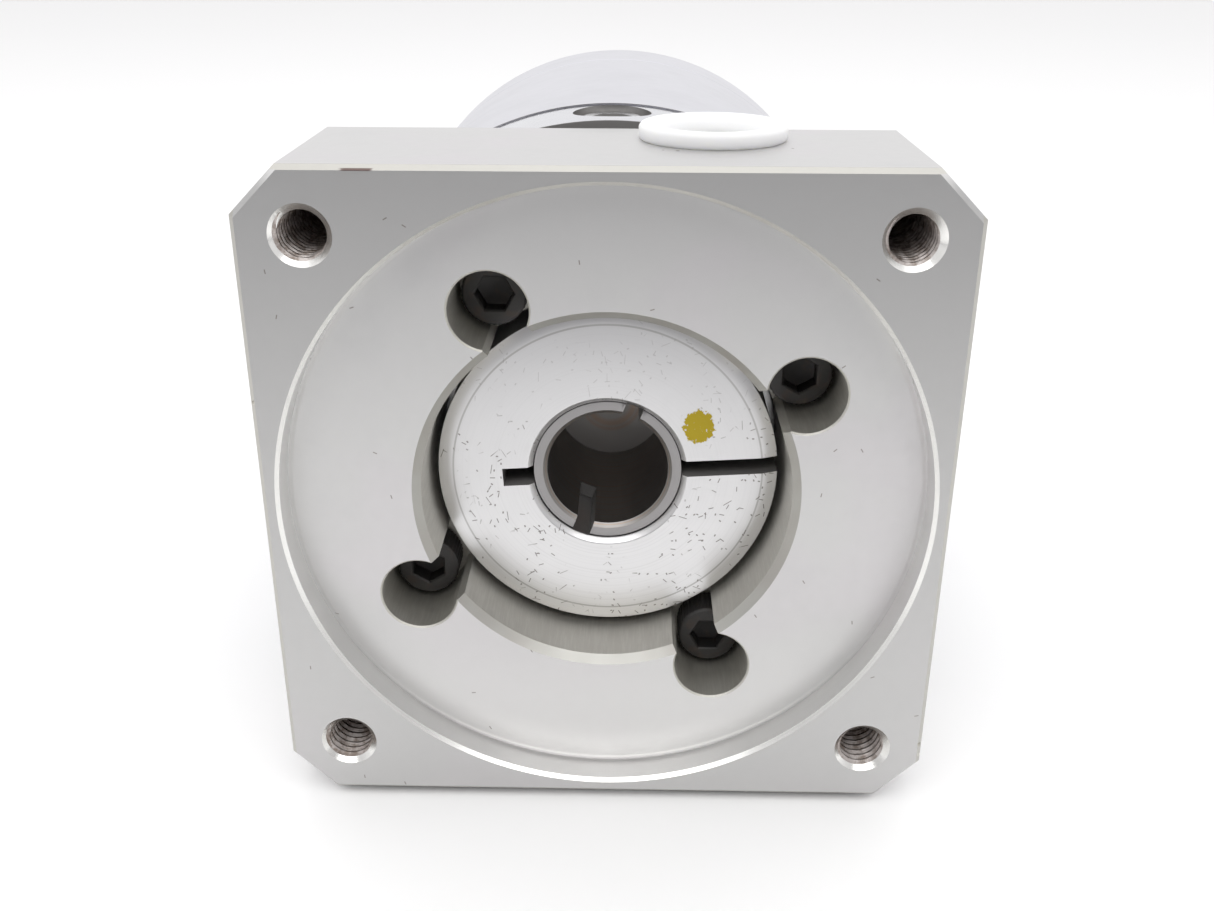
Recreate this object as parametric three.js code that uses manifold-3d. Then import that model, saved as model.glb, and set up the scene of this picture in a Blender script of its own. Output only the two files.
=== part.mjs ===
// Inline planetary servo gear reducer, single stage, with a clamp-collar input.
// Millimetres. Inside the assembly group Y runs along the shafts from the motor face (Y = 0)
// to the output shaft's end, Z is up and the shafts' axis is at X = Z = 0.
import * as THREE from "three";
import { mergeVertices } from "three/addons/utils/BufferGeometryUtils.js";
import Module from "manifold-3d";

const wasm = await Module();
wasm.setup();

// Driving dimensions -----------------------------------------------------------------------

const FACETS = 24; // flats round every part that is turned about the main axis
const SMALL_FACETS = 12; // flats round screws, pins and drilled holes
const FLAT = Math.cos(Math.PI / FACETS); // distance to a flat over distance to its corners
const PLAY = 0.1; // radial gap between two fitted pieces
const RUNNING = 0.2; // radial gap between a turning piece and the piece round it
const CLEARANCE = 0.3; // radial gap round a screw's shank in a clearance hole
const PAST = 1; // how far a cutting shape runs past the face that it opens

const BODY_RADIUS = 51;
const SEAM = { adapterBack: 32, ringFront: 52, ringBack: 122, outputFace: 143 };
const SHAFT_END = 198;

const ADAPTER = { side: 100, corner: 6.7, edge: 0.7, recess: 47.5, recessFloor: 5 };
const OPENING = { radius: 27.8, mouth: 29, mouthDepth: 1.2 };
const MOTOR_HOLES = { offset: 40.66, radius: 3.4, depth: 22, sink: 4.3, sinkDepth: 0.9 };

const ADAPTER_SCREW = { at: 33.35, first: 30, count: 4, shank: 3, head: 5, headHeight: 6, key: 5, end: 43 };
const ADAPTER_TAP_END = 49.6; // the tapped holes run on past the screws
const ADAPTER_SEAT = { y: 20, radius: 5.8, neck: 3.7 };
const HOUSING_SCREW = { at: 46.2, first: 45, count: 4, shank: 2, head: 3.5, headHeight: 4, key: 3, end: 63 };
const HOUSING_SEAT = { y: 36.8, radius: 3.75 };
const OUTPUT_SCREW = {
  at: 45.5, first: 0, count: 4, shank: 2.5, head: 4.25, headHeight: 5, key: 4, end: 110,
};
const OUTPUT_SEAT = { y: 137.4, radius: 4.6 };
const OUTPUT_HOLES = { at: 45, first: 45, count: 4, radius: 3.4, depth: 16 };

const PLUG = { x: 15.07, y: 23, hole: 7.6, rim: 10.85, rimHeight: 2.3, cup: 7.4, wall: 1.1, depth: 9 };
const COLLAR = { bore: 11.7, mouth: 12.5, radius: 26.5, band: 24.1, bandDepth: 0.7, front: 14.6, back: 29.6 };
const SLIT = { angle: 3.5, width: 2.6, reliefWidth: 2.95, reliefReach: 16.4 };
const CLAMP = { shank: 2.5, head: 4.25, headHeight: 5, key: 4, seat: 8.6, end: -12 };

const INPUT = { front: 15.6, bore: 9.5, sleeve: 11.6, step: 30, journal: 16.2, seat: 15, back: 55.5 };
const INPUT_BORE_END = 46;
const INPUT_SLOT = { angle: 68.5, width: 2.9, end: 29 };
const SOCKET = { radius: 8.1, front: 48.5 };

const PORT = { y: 44.8, radius: 6.4, floor: 49.4, tapped: 5.1, bottom: 40, plug: 5, key: 5 };
const INPUT_BEARING = { front: 38, width: 9, bore: 15, outside: 23.5, balls: 13, ball: 2.3 };
const OUTPUT_BEARING = { width: 15, bore: 20, outside: 33.9, balls: 12, ball: 3.9 };
const OUTPUT_BEARING_FRONTS = { front: 97.5, rear: 118 };

const GEAR = { module: 1.5, pressure: THREE.MathUtils.degToRad(20), backlash: 0.075, ringBacklash: 0.1 };
const TEETH = { sun: 18, planet: 18, ring: 54 };
const RING_TEETH = { front: 60, back: 90 };
const PLANETS = { count: 3, first: 90, at: (GEAR.module * (TEETH.sun + TEETH.planet)) / 2 };
const PLANET = { front: 61.9, back: 88.1, bore: 7.1, bush: 7, bushBore: 5.2, pin: 5 };
const WASHER = { thickness: 1, bore: 5.3, radius: 10.5 };
const CARRIER = { radius: 37.4, front: 56.9, frontBack: 60.7, rearFront: 89.3, back: 97, bore: 17, hub: 16 };
const POST = { inner: 18, outer: 37, halfAngle: 17 };

const OUTPUT = { seat: 20, seatEnd: 133.2, journal: 18, journalEnd: 149.5, radius: 12.5, chamfer: 1 };
const OUTPUT_CENTRE_HOLE = { radius: 3.4, depth: 18 };
const PILOT = { radius: 40, end: 149 };
const SPIGOT = { input: 42.9, inputInside: 36, inputEnd: 56, output: 41.4, outputStart: 116 };
const KEY = { width: 8, height: 7, proud: 3, front: 153, back: 189 };

const ALUMINIUM = { color: 0xc9c9c6, roughness: 0.42, metalness: 0.85 };
const STEEL = { color: 0xb9b9bd, roughness: 0.28, metalness: 1 };
const BRIGHT_STEEL = { color: 0xdadadd, roughness: 0.16, metalness: 1 };
const BODY_STEEL = { color: 0xe4e3e8, roughness: 0.3, metalness: 0.8 };
const GEAR_STEEL = { color: 0x8d8a86, roughness: 0.35, metalness: 1 };
const BLACK_OXIDE = { color: 0x1f1c1a, roughness: 0.5, metalness: 0.6 };
const BRONZE = { color: 0x9a7440, roughness: 0.4, metalness: 0.9 };
const RUBBER = { color: 0x161616, roughness: 0.75, metalness: 0 };
const POLYETHYLENE = { color: 0xeef1ee, roughness: 0.45, metalness: 0 };

// Shapes -----------------------------------------------------------------------------------

// A piece turned about the Y axis from [radius, y] corners in order round its section,
// with a flat, not a corner, at its top and bottom.
function turned(section, facets = FACETS) {
  const points = section.map(([radius, y]) => new THREE.Vector2(radius, y));
  if (THREE.ShapeUtils.isClockWise(points)) points.reverse();
  if (points[0].x > 0) points.push(points[0].clone());
  return new THREE.LatheGeometry(points, facets, Math.PI / facets);
}

// A round bar along Y, or a washer or tube where it has a bore.
function bar(radius, from, to, facets = SMALL_FACETS, bore = 0) {
  return turned([[bore, from], [radius, from], [radius, to], [bore, to]], facets);
}

// A flat outline in X and Z, made solid between two places on Y.
function prism(shape, from, to) {
  const geometry = new THREE.ExtrudeGeometry(shape, { depth: to - from, bevelEnabled: false });
  return geometry.rotateX(Math.PI / 2).translate(0, to, 0);
}

function block(x, y, z) {
  return new THREE.BoxGeometry(x[1] - x[0], y[1] - y[0], z[1] - z[0]).translate(
    (x[0] + x[1]) / 2,
    (y[0] + y[1]) / 2,
    (z[0] + z[1]) / 2,
  );
}

// Stands a shape that lies along Y up along Z.
const upright = (geometry) => geometry.rotateX(Math.PI / 2);

// Turns a shape about the main axis, from +X towards +Z.
const swung = (geometry, degrees) => geometry.rotateY(-THREE.MathUtils.degToRad(degrees));

// Copies of a shape, one at each place of a ring of holes, screws or planets.
function onCircle({ at, first, count }, make) {
  return Array.from({ length: count }, (_, i) =>
    swung(make().translate(at, 0, 0), first + (360 / count) * i),
  );
}

function solid(geometry) {
  const bare = geometry.clone();
  bare.deleteAttribute("normal");
  bare.deleteAttribute("uv");
  const merged = mergeVertices(bare, 1e-4);
  const vertProperties = merged.attributes.position.array;
  return new wasm.Manifold(
    new wasm.Mesh({ numProp: 3, vertProperties, triVerts: new Uint32Array(merged.index.array) }),
  );
}

function geometryOf(manifold) {
  const mesh = manifold.getMesh();
  return new THREE.BufferGeometry()
    .setAttribute("position", new THREE.BufferAttribute(mesh.vertProperties, 3))
    .setIndex(new THREE.BufferAttribute(mesh.triVerts, 1));
}

const joined = (...shapes) => geometryOf(shapes.map(solid).reduce((a, b) => a.add(b)));
const cut = (shape, ...tools) =>
  geometryOf(tools.map(solid).reduce((rest, tool) => rest.subtract(tool), solid(shape)));

// Gears ------------------------------------------------------------------------------------

const involute = (angle) => Math.tan(angle) - angle;

// The outline of a spur gear with a tooth at `phase` degrees from +X. `widen` is added to each
// flank of the tooth, in millimetres along the pitch circle, and a flank is drawn in
// `flankParts` straight lines.
function toothOutline(teeth, phase, widen, innerRadius, outerRadius, flankParts) {
  const pitchRadius = (GEAR.module * teeth) / 2;
  const baseRadius = pitchRadius * Math.cos(GEAR.pressure);
  const halfTooth = (radius) => {
    const pressure = Math.acos(Math.min(1, baseRadius / radius));
    const nominal = Math.PI / (2 * teeth) + involute(GEAR.pressure) - involute(pressure);
    return nominal + widen / pitchRadius;
  };
  const start = Math.max(baseRadius, innerRadius);
  const radii = Array.from(
    { length: flankParts + 1 },
    (_, i) => start + ((outerRadius - start) * i) / flankParts,
  );
  if (start > innerRadius) radii.unshift(innerRadius);
  const points = [];
  for (let tooth = 0; tooth < teeth; tooth++) {
    const middle = THREE.MathUtils.degToRad(phase + (360 / teeth) * tooth);
    const place = (radius, side) => {
      const angle = middle + side * halfTooth(radius);
      points.push(new THREE.Vector2(radius * Math.cos(angle), radius * Math.sin(angle)));
    };
    radii.forEach((radius) => place(radius, -1));
    [...radii].reverse().forEach((radius) => place(radius, 1));
  }
  return points;
}

function spurGear(teeth, phase, from, to) {
  const pitchRadius = (GEAR.module * teeth) / 2;
  const root = pitchRadius - 1.25 * GEAR.module;
  const outline = toothOutline(teeth, phase, -GEAR.backlash, root, pitchRadius + GEAR.module, 2);
  return prism(new THREE.Shape(outline), from, to);
}

// The space that an internal gear's teeth leave, which its housing is cut with.
function ringSpace(teeth, phase, from, to) {
  const pitchRadius = (GEAR.module * teeth) / 2;
  const tip = pitchRadius - GEAR.module;
  const root = pitchRadius + 1.25 * GEAR.module;
  const outline = toothOutline(teeth, phase, GEAR.ringBacklash, tip, root, 1);
  return prism(new THREE.Shape(outline), from, to);
}

// Screws, seals and bearings ---------------------------------------------------------------

// A socket-head screw along Y, with its head at the low end. `seat` is the head's underside.
function socketScrew({ shank, head, headHeight, key }, seat, end) {
  const top = seat - headHeight;
  const section = [[0, top], [head, top], [head, seat], [shank, seat], [shank, end], [0, end]];
  const socket = bar(key / Math.sqrt(3), top - PAST, top + headHeight / 2, 6);
  return cut(turned(section, SMALL_FACETS), socket);
}

// A clearance hole or tapped hole for a screw, with the counterbore for its head.
const counterbored = (hole, seatRadius, seat, from, to) =>
  joined(bar(hole, seat - PAST, to), bar(seatRadius, from, seat));

// A shaft seal: a rubber-covered case with a lip that leans on the shaft.
function shaftSeal(bore, outside, front, back) {
  const lip = bore + 2.2;
  return turned([
    [outside, front],
    [outside, back],
    [lip, front + 1.6],
    [bore, back - 1.6],
    [lip - 1, front],
  ]);
}

// An O-ring, drawn with a square section that stands on its corner.
function oRing(middle, y, section) {
  return turned([
    [middle - section, y],
    [middle, y - section],
    [middle + section, y],
    [middle, y + section],
  ]);
}

// A retaining ring with the opening that its pliers need.
function retainingRing(inner, outer, from, to, gapDegrees) {
  const opening = block([-4, 4], [from - PAST, to + PAST], [inner - 2, outer + 2]);
  return cut(bar(outer, from, to, FACETS, inner), swung(opening, gapDegrees));
}

// The three pieces of a deep-groove ball bearing: both rings, and the cage with its balls.
function ballBearing({ width, bore, outside, balls, ball }, front) {
  const middle = front + width / 2;
  const pitch = (bore + outside) / 2;
  const race = (bottom, shoulder) => [[shoulder, front], [bottom, middle], [shoulder, front + width]];
  const inner = race(pitch - 1.2 * ball, pitch - 0.72 * ball);
  const outer = race((pitch + 1.2 * ball) / FLAT, pitch + 0.72 * ball);
  const cage = { thickness: 0.38 * ball, reach: 0.72 * ball };
  const set = onCircle({ at: pitch, first: 0, count: balls }, () =>
    new THREE.OctahedronGeometry(ball).translate(0, middle, 0),
  );
  return {
    inner_ring: turned([[bore + PLAY, front + width], [bore + PLAY, front], ...inner]),
    outer_ring: turned([[outside, front + width], [outside, front], ...outer]),
    ball_cage: joined(
      bar(pitch + cage.thickness, middle - cage.reach, middle + cage.reach, FACETS, pitch - cage.thickness),
      ...set,
    ),
  };
}

// Motor side -------------------------------------------------------------------------------

function motorAdapter() {
  const half = ADAPTER.side / 2;
  const inner = half - ADAPTER.corner;
  const outline = new THREE.Shape(
    [[half, -inner], [half, inner], [inner, half], [-inner, half], [-half, inner], [-half, -inner],
      [-inner, -half], [inner, -half]].map(([x, z]) => new THREE.Vector2(x, z)),
  );
  const { edge } = ADAPTER;
  const plate = new THREE.ExtrudeGeometry(outline, {
    depth: SEAM.adapterBack - 2 * edge,
    bevelThickness: edge,
    bevelSize: edge,
    bevelOffset: -edge,
    bevelSegments: 1,
  });
  plate.rotateX(Math.PI / 2).translate(0, SEAM.adapterBack - edge, 0);
  const floor = ADAPTER.recessFloor;
  const bore = turned([
    [0, -PAST],
    [ADAPTER.recess, -PAST],
    [ADAPTER.recess, floor],
    [OPENING.mouth, floor],
    [OPENING.radius, floor + OPENING.mouthDepth],
    [OPENING.radius, SEAM.adapterBack + PAST],
    [0, SEAM.adapterBack + PAST],
  ]);
  const seat = ADAPTER_SEAT;
  const throughEnd = SEAM.adapterBack + PAST;
  const screwHoles = onCircle(ADAPTER_SCREW, () =>
    counterbored(ADAPTER_SCREW.shank + CLEARANCE, seat.radius, seat.y, floor - PAST, throughEnd),
  );
  const necks = onCircle({ ...ADAPTER_SCREW, at: 0 }, () =>
    block([OPENING.radius - 2, ADAPTER_SCREW.at], [floor - PAST, seat.y], [-seat.neck, seat.neck]),
  );
  const { offset, radius, depth, sink, sinkDepth } = MOTOR_HOLES;
  const hole = [[0, -PAST], [sink + PAST, -PAST], [radius, sinkDepth], [radius, depth], [0, depth]];
  const motorHoles = [[1, 1], [-1, 1], [-1, -1], [1, -1]].map(([x, z]) =>
    turned(hole, SMALL_FACETS).translate(x * offset, 0, z * offset),
  );
  const keyHole = upright(bar(PLUG.hole, OPENING.radius * 0.7, half + PAST)).translate(PLUG.x, PLUG.y, 0);
  return cut(plate, bore, ...screwHoles, ...necks, ...motorHoles, keyHole);
}

// A flanged cup of soft polyethylene that closes the hole over the clamp screw.
function accessPlug() {
  const { rim, rimHeight, cup, wall, depth } = PLUG;
  const section = [
    [0, -depth], [cup, -depth], [cup, 0], [rim, 0], [rim, rimHeight - 0.6], [rim - 0.6, rimHeight],
    [cup + 0.8, rimHeight], [cup - wall, rimHeight - 0.9], [cup - wall, wall - depth], [0, wall - depth],
  ];
  return upright(turned(section, SMALL_FACETS)).translate(PLUG.x, PLUG.y, ADAPTER.side / 2);
}

const clampY = (COLLAR.front + COLLAR.back) / 2;
const placeOnCollar = (geometry) => swung(upright(geometry).translate(PLUG.x, clampY, 0), SLIT.angle);

function clampCollar() {
  const { bore, mouth, radius, band, bandDepth, front, back } = COLLAR;
  const ring = turned([
    [mouth, front],
    [band, front],
    [radius, front + bandDepth],
    [radius, back - 0.4],
    [radius - 0.4, back],
    [bore, back],
    [bore, front + mouth - bore],
  ]);
  const span = [front - PAST, back + PAST];
  const slit = block([0, radius + PAST], span, [-SLIT.width / 2, SLIT.width / 2]);
  const relief = block([-SLIT.reliefReach, 0], span, [-SLIT.reliefWidth / 2, SLIT.reliefWidth / 2]);
  const screwHole = placeOnCollar(
    joined(
      bar(CLAMP.shank + PLAY, CLAMP.end - 4, CLAMP.seat + PAST),
      bar(CLAMP.head + 0.35, CLAMP.seat, radius + PAST),
    ),
  );
  return cut(ring, swung(slit, SLIT.angle), swung(relief, SLIT.angle), screwHole);
}

// The screw that draws the collar's slit together, head upwards.
function clampScrew() {
  const screw = socketScrew(CLAMP, -CLAMP.seat, -CLAMP.end).rotateX(Math.PI);
  return placeOnCollar(screw);
}

function inputShaft() {
  const { front, bore, sleeve, step, journal, seat, back } = INPUT;
  const groove = inputClipGroove();
  const shoulder = INPUT_BEARING.front - PLAY;
  const shaft = turned([
    [0, INPUT_BORE_END],
    [bore, INPUT_BORE_END - 1.5],
    [bore, front + 0.8],
    [bore + 0.8, front],
    [sleeve, front],
    [sleeve, step],
    [journal, step],
    [journal, shoulder],
    [seat, shoulder],
    [seat, groove.front],
    [groove.floor, groove.front],
    [groove.floor, groove.back],
    [seat, groove.back],
    [seat, back],
    [SOCKET.radius, back],
    [SOCKET.radius, SOCKET.front],
    [0, SOCKET.front],
  ]);
  const half = INPUT_SLOT.width / 2;
  const slots = block([-sleeve - PAST, sleeve + PAST], [front - PAST, INPUT_SLOT.end], [-half, half]);
  return cut(shaft, swung(slots, INPUT_SLOT.angle));
}

function inputClipGroove() {
  const bearingBack = INPUT_BEARING.front + INPUT_BEARING.width;
  return { front: bearingBack + 0.1, back: bearingBack + 1.4, floor: INPUT.seat - 0.8 };
}

function sunGear() {
  const front = CARRIER.front + 1;
  const shank = bar(SOCKET.radius - PLAY, SOCKET.front + 0.2, front + PAST, FACETS);
  return joined(spurGear(TEETH.sun, PLANETS.first + 180 / TEETH.sun, front, PLANET.back + 0.7), shank);
}

// The front body: bearing plate, seal housing and oil port.
function inputHousing() {
  const { adapterBack, ringFront } = SEAM;
  const outside = BODY_RADIUS / FLAT;
  const pocket = INPUT_BEARING.outside + PLAY;
  const lip = INPUT_BEARING.front - PLAY;
  const clip = inputClipGroove();
  const body = turned([
    [pocket, adapterBack - 2],
    [OPENING.radius - 0.2, adapterBack - 2],
    [OPENING.radius - 0.2, adapterBack],
    [outside - 0.8, adapterBack],
    [outside, adapterBack + 1.4],
    [outside, ringFront],
    [SPIGOT.input, ringFront],
    [SPIGOT.input, ringFront + 0.6],
    [SPIGOT.input - 1.6, ringFront + 0.6],
    [SPIGOT.input - 1.6, ringFront + 2.8],
    [SPIGOT.input, ringFront + 2.8],
    [SPIGOT.input, SPIGOT.inputEnd],
    [SPIGOT.inputInside, SPIGOT.inputEnd],
    [SPIGOT.inputInside, ringFront],
    [pocket, ringFront],
    [pocket, clip.back],
    [pocket + 1.4, clip.back],
    [pocket + 1.4, clip.front],
    [pocket, clip.front],
    [pocket, lip],
    [pocket - 2.2, lip],
    [pocket - 2.2, lip - 0.8],
    [pocket, lip - 0.8],
  ]);
  const adapterHoles = onCircle(ADAPTER_SCREW, () =>
    bar(ADAPTER_SCREW.shank + PLAY, adapterBack - PAST, ADAPTER_TAP_END),
  );
  const screwSpan = [adapterBack - PAST, ringFront + PAST];
  const screwHoles = onCircle(HOUSING_SCREW, () =>
    counterbored(HOUSING_SCREW.shank + CLEARANCE, HOUSING_SEAT.radius, HOUSING_SEAT.y, ...screwSpan),
  );
  const port = upright(
    joined(bar(PORT.radius, PORT.floor, outside + PAST), bar(PORT.tapped, PORT.bottom, PORT.floor + PAST)),
  ).translate(0, PORT.y, 0);
  return cut(body, ...adapterHoles, ...screwHoles, port);
}

function oilPortPlug() {
  const body = bar(PORT.plug, PORT.bottom + 1, PORT.floor - 0.4);
  const socket = bar(PORT.key / Math.sqrt(3), PORT.floor - 4, PORT.floor + PAST, 6);
  return upright(cut(body, socket)).translate(0, PORT.y, 0);
}

// Gear stage -------------------------------------------------------------------------------

// The middle body: the ring gear's teeth are cut in its wall, and a web holds a bearing.
function ringGearHousing() {
  const { ringFront, ringBack } = SEAM;
  const outside = BODY_RADIUS / FLAT;
  const pocket = OUTPUT_BEARING.outside + PLAY;
  const webBack = OUTPUT_BEARING_FRONTS.front + OUTPUT_BEARING.width;
  const ringRoot = (GEAR.module * TEETH.ring) / 2 + 1.25 * GEAR.module;
  const space = turned([
    [0, ringFront - PAST],
    [SPIGOT.input + PLAY, ringFront - PAST],
    [SPIGOT.input + PLAY, SPIGOT.inputEnd + 0.4],
    [ringRoot + 0.4, SPIGOT.inputEnd + 0.4],
    [ringRoot + 0.4, RING_TEETH.front],
    [CARRIER.bore, RING_TEETH.front],
    [CARRIER.bore, RING_TEETH.back],
    [ringRoot + 0.4, RING_TEETH.back],
    [ringRoot + 0.4, CARRIER.back + 0.4],
    [pocket, CARRIER.back + 0.4],
    [pocket, webBack + PLAY],
    [pocket - 3, webBack + PLAY],
    [pocket - 3, webBack + 2],
    [SPIGOT.output + PLAY, webBack + 2],
    [SPIGOT.output + PLAY, ringBack + PAST],
    [0, ringBack + PAST],
  ]);
  const body = turned([
    [0, ringFront],
    [outside - 0.5, ringFront],
    [outside, ringFront + 0.5],
    [outside, ringBack - 0.4],
    [outside - 0.4, ringBack],
    [0, ringBack],
  ]);
  const teeth = ringSpace(TEETH.ring, PLANETS.first, RING_TEETH.front - PAST, RING_TEETH.back + PAST);
  const frontHoles = onCircle(HOUSING_SCREW, () =>
    bar(HOUSING_SCREW.shank + PLAY, ringFront - PAST, HOUSING_SCREW.end + PAST),
  );
  const backHoles = onCircle(OUTPUT_SCREW, () =>
    bar(OUTPUT_SCREW.shank + PLAY, OUTPUT_SCREW.end - PAST, ringBack + PAST),
  );
  return cut(body, space, teeth, ...frontHoles, ...backHoles);
}

function planetCarrier() {
  const { radius, front, frontBack, rearFront, back, bore, hub } = CARRIER;
  const frontPlate = bar(radius, front, frontBack, FACETS, bore);
  const rearPlate = bar(radius, rearFront, back, FACETS, hub + PLAY);
  const half = THREE.MathUtils.degToRad(POST.halfAngle);
  const sector = new THREE.Shape();
  sector.absarc(0, 0, POST.outer, -half, half, false);
  sector.absarc(0, 0, POST.inner, half, -half, true);
  const length = rearFront - frontBack + 2 * PAST;
  const post = new THREE.ExtrudeGeometry(sector, { depth: length, bevelEnabled: false, curveSegments: 4 });
  post.rotateX(Math.PI / 2).translate(0, rearFront + PAST, 0);
  const posts = Array.from({ length: PLANETS.count }, (_, i) =>
    swung(post.clone(), PLANETS.first + (360 / PLANETS.count) * (i + 0.5)),
  );
  const pinHoles = onCircle(PLANETS, () => bar(PLANET.pin + PLAY, front - PAST, back + PAST));
  return cut(joined(frontPlate, rearPlate, ...posts), ...pinHoles);
}

// A planet with its place's angle, a tooth of which points straight out at the ring gear.
function planetGear(angle) {
  const gear = cut(
    spurGear(TEETH.planet, 0, PLANET.front, PLANET.back),
    bar(PLANET.bore, PLANET.front - PAST, PLANET.back + PAST),
  );
  return swung(gear.translate(PLANETS.at, 0, 0), angle);
}

const atPlanet = (geometry, angle) => swung(geometry.translate(PLANETS.at, 0, 0), angle);

// Output side ------------------------------------------------------------------------------

function outputHousing() {
  const { ringBack, outputFace } = SEAM;
  const outside = BODY_RADIUS / FLAT;
  const pocket = OUTPUT_BEARING.outside + PLAY;
  const bearingBack = OUTPUT_BEARING_FRONTS.rear + OUTPUT_BEARING.width;
  const seal = outputSealPlace();
  const { output, outputStart } = SPIGOT;
  const body = turned([
    [pocket, outputStart],
    [output, outputStart],
    [output, ringBack - 3.4],
    [output - 1.6, ringBack - 3.4],
    [output - 1.6, ringBack - 1.2],
    [output, ringBack - 1.2],
    [output, ringBack],
    [outside - 0.4, ringBack],
    [outside, ringBack + 0.4],
    [outside, outputFace - 1],
    [outside - 1, outputFace],
    [PILOT.radius, outputFace],
    [PILOT.radius, PILOT.end - 1],
    [PILOT.radius - 1, PILOT.end],
    [seal.outside + PLAY, PILOT.end],
    [seal.outside + PLAY, seal.front - PLAY],
    [seal.outside - 2, seal.front - PLAY],
    [seal.outside - 2, bearingBack + 1.8],
    [pocket - 4, bearingBack + 1.8],
    [pocket - 4, bearingBack + PLAY],
    [pocket, bearingBack + PLAY],
  ]);
  const screwHoles = onCircle(OUTPUT_SCREW, () =>
    joined(
      bar(OUTPUT_SCREW.shank + CLEARANCE, ringBack - PAST, OUTPUT_SEAT.y + PAST),
      bar(OUTPUT_SEAT.radius, OUTPUT_SEAT.y, outputFace + PAST),
    ),
  );
  const tappedHoles = onCircle(OUTPUT_HOLES, () =>
    bar(OUTPUT_HOLES.radius, outputFace - OUTPUT_HOLES.depth, outputFace + PAST),
  );
  return cut(body, ...screwHoles, ...tappedHoles);
}

function outputSealPlace() {
  return { front: PILOT.end - 7.6, back: PILOT.end - 0.6, outside: 26, bore: OUTPUT.journal + RUNNING };
}

// A screw whose head is at its high end on Y.
function outputScrew() {
  const screw = socketScrew(OUTPUT_SCREW, -OUTPUT_SEAT.y - 0.1, -OUTPUT_SCREW.end);
  return screw.rotateX(Math.PI);
}

function outputShaft() {
  const { seat, seatEnd, journal, journalEnd, radius, chamfer } = OUTPUT;
  const shaft = turned([
    [0, CARRIER.back - 6],
    [CARRIER.hub, CARRIER.back - 6],
    [CARRIER.hub, CARRIER.back + 0.1],
    [seat, CARRIER.back + 0.1],
    [seat, seatEnd],
    [journal, seatEnd],
    [journal, journalEnd],
    [radius, journalEnd],
    [radius, SHAFT_END - chamfer],
    [radius - chamfer, SHAFT_END],
    [0, SHAFT_END],
  ]);
  const keyway = keyShape(PLAY, radius + KEY.proud - KEY.height - PLAY, radius + PAST);
  const centreHole = bar(OUTPUT_CENTRE_HOLE.radius, SHAFT_END - OUTPUT_CENTRE_HOLE.depth, SHAFT_END + PAST);
  return cut(shaft, keyway, centreHole);
}

// A key with round ends on top of the output shaft, or the seat that it lies in.
function keyShape(grow, bottom, top) {
  const half = KEY.width / 2;
  const shape = new THREE.Shape();
  shape.absarc(0, -(KEY.front + half), half + grow, 0, Math.PI, false);
  shape.absarc(0, -(KEY.back - half), half + grow, Math.PI, 2 * Math.PI, false);
  const depth = top - bottom;
  const geometry = new THREE.ExtrudeGeometry(shape, { depth, bevelEnabled: false, curveSegments: 6 });
  return geometry.rotateX(Math.PI).translate(0, 0, top);
}

// Assembly ---------------------------------------------------------------------------------

const assembly = new THREE.Group();
assembly.position.set(0, -SHAFT_END / 2, BODY_RADIUS);

function add(name, geometry, look) {
  const mesh = new THREE.Mesh(geometry, new THREE.MeshStandardMaterial(look));
  mesh.name = name;
  assembly.add(mesh);
}

function addEach(name, geometries, look) {
  geometries.forEach((geometry, i) => add(name + "_" + (i + 1), geometry, look));
}

function addBearing(name, bearing, front) {
  for (const [piece, geometry] of Object.entries(ballBearing(bearing, front)))
    add(name + "_" + piece, geometry, piece === "ball_cage" ? STEEL : BRIGHT_STEEL);
}

add("motor_adapter", motorAdapter(), ALUMINIUM);
add("access_plug", accessPlug(), POLYETHYLENE);
addEach(
  "adapter_screw",
  onCircle(ADAPTER_SCREW, () => socketScrew(ADAPTER_SCREW, ADAPTER_SEAT.y, ADAPTER_SCREW.end)),
  BLACK_OXIDE,
);
add("clamp_collar", clampCollar(), STEEL);
add("clamp_screw", clampScrew(), BLACK_OXIDE);
add("input_shaft", inputShaft(), STEEL);
add("sun_gear", sunGear(), GEAR_STEEL);

const clip = inputClipGroove();
const bearingOutside = INPUT_BEARING.outside;
const sealFront = SEAM.adapterBack - 1.4;
const sealBack = INPUT_BEARING.front - 1;
add("input_seal", shaftSeal(INPUT.journal + RUNNING, bearingOutside, sealFront, sealBack), RUBBER);
addBearing("input_bearing", INPUT_BEARING, INPUT_BEARING.front);
const clipSpan = [clip.front + PLAY, clip.back - PLAY];
add("shaft_circlip", retainingRing(clip.floor + PLAY, INPUT.seat + 2.2, ...clipSpan, 0), STEEL);
add("housing_circlip", retainingRing(bearingOutside - 2.4, bearingOutside + 1.3, ...clipSpan, 90), STEEL);
add("input_housing", inputHousing(), BODY_STEEL);
add("oil_port_plug", oilPortPlug(), STEEL);
add("input_o_ring", oRing(SPIGOT.input - 0.8, SEAM.ringFront + 1.7, 0.8), RUBBER);
addEach(
  "input_housing_screw",
  onCircle(HOUSING_SCREW, () => socketScrew(HOUSING_SCREW, HOUSING_SEAT.y - 0.1, HOUSING_SCREW.end)),
  BLACK_OXIDE,
);

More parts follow.
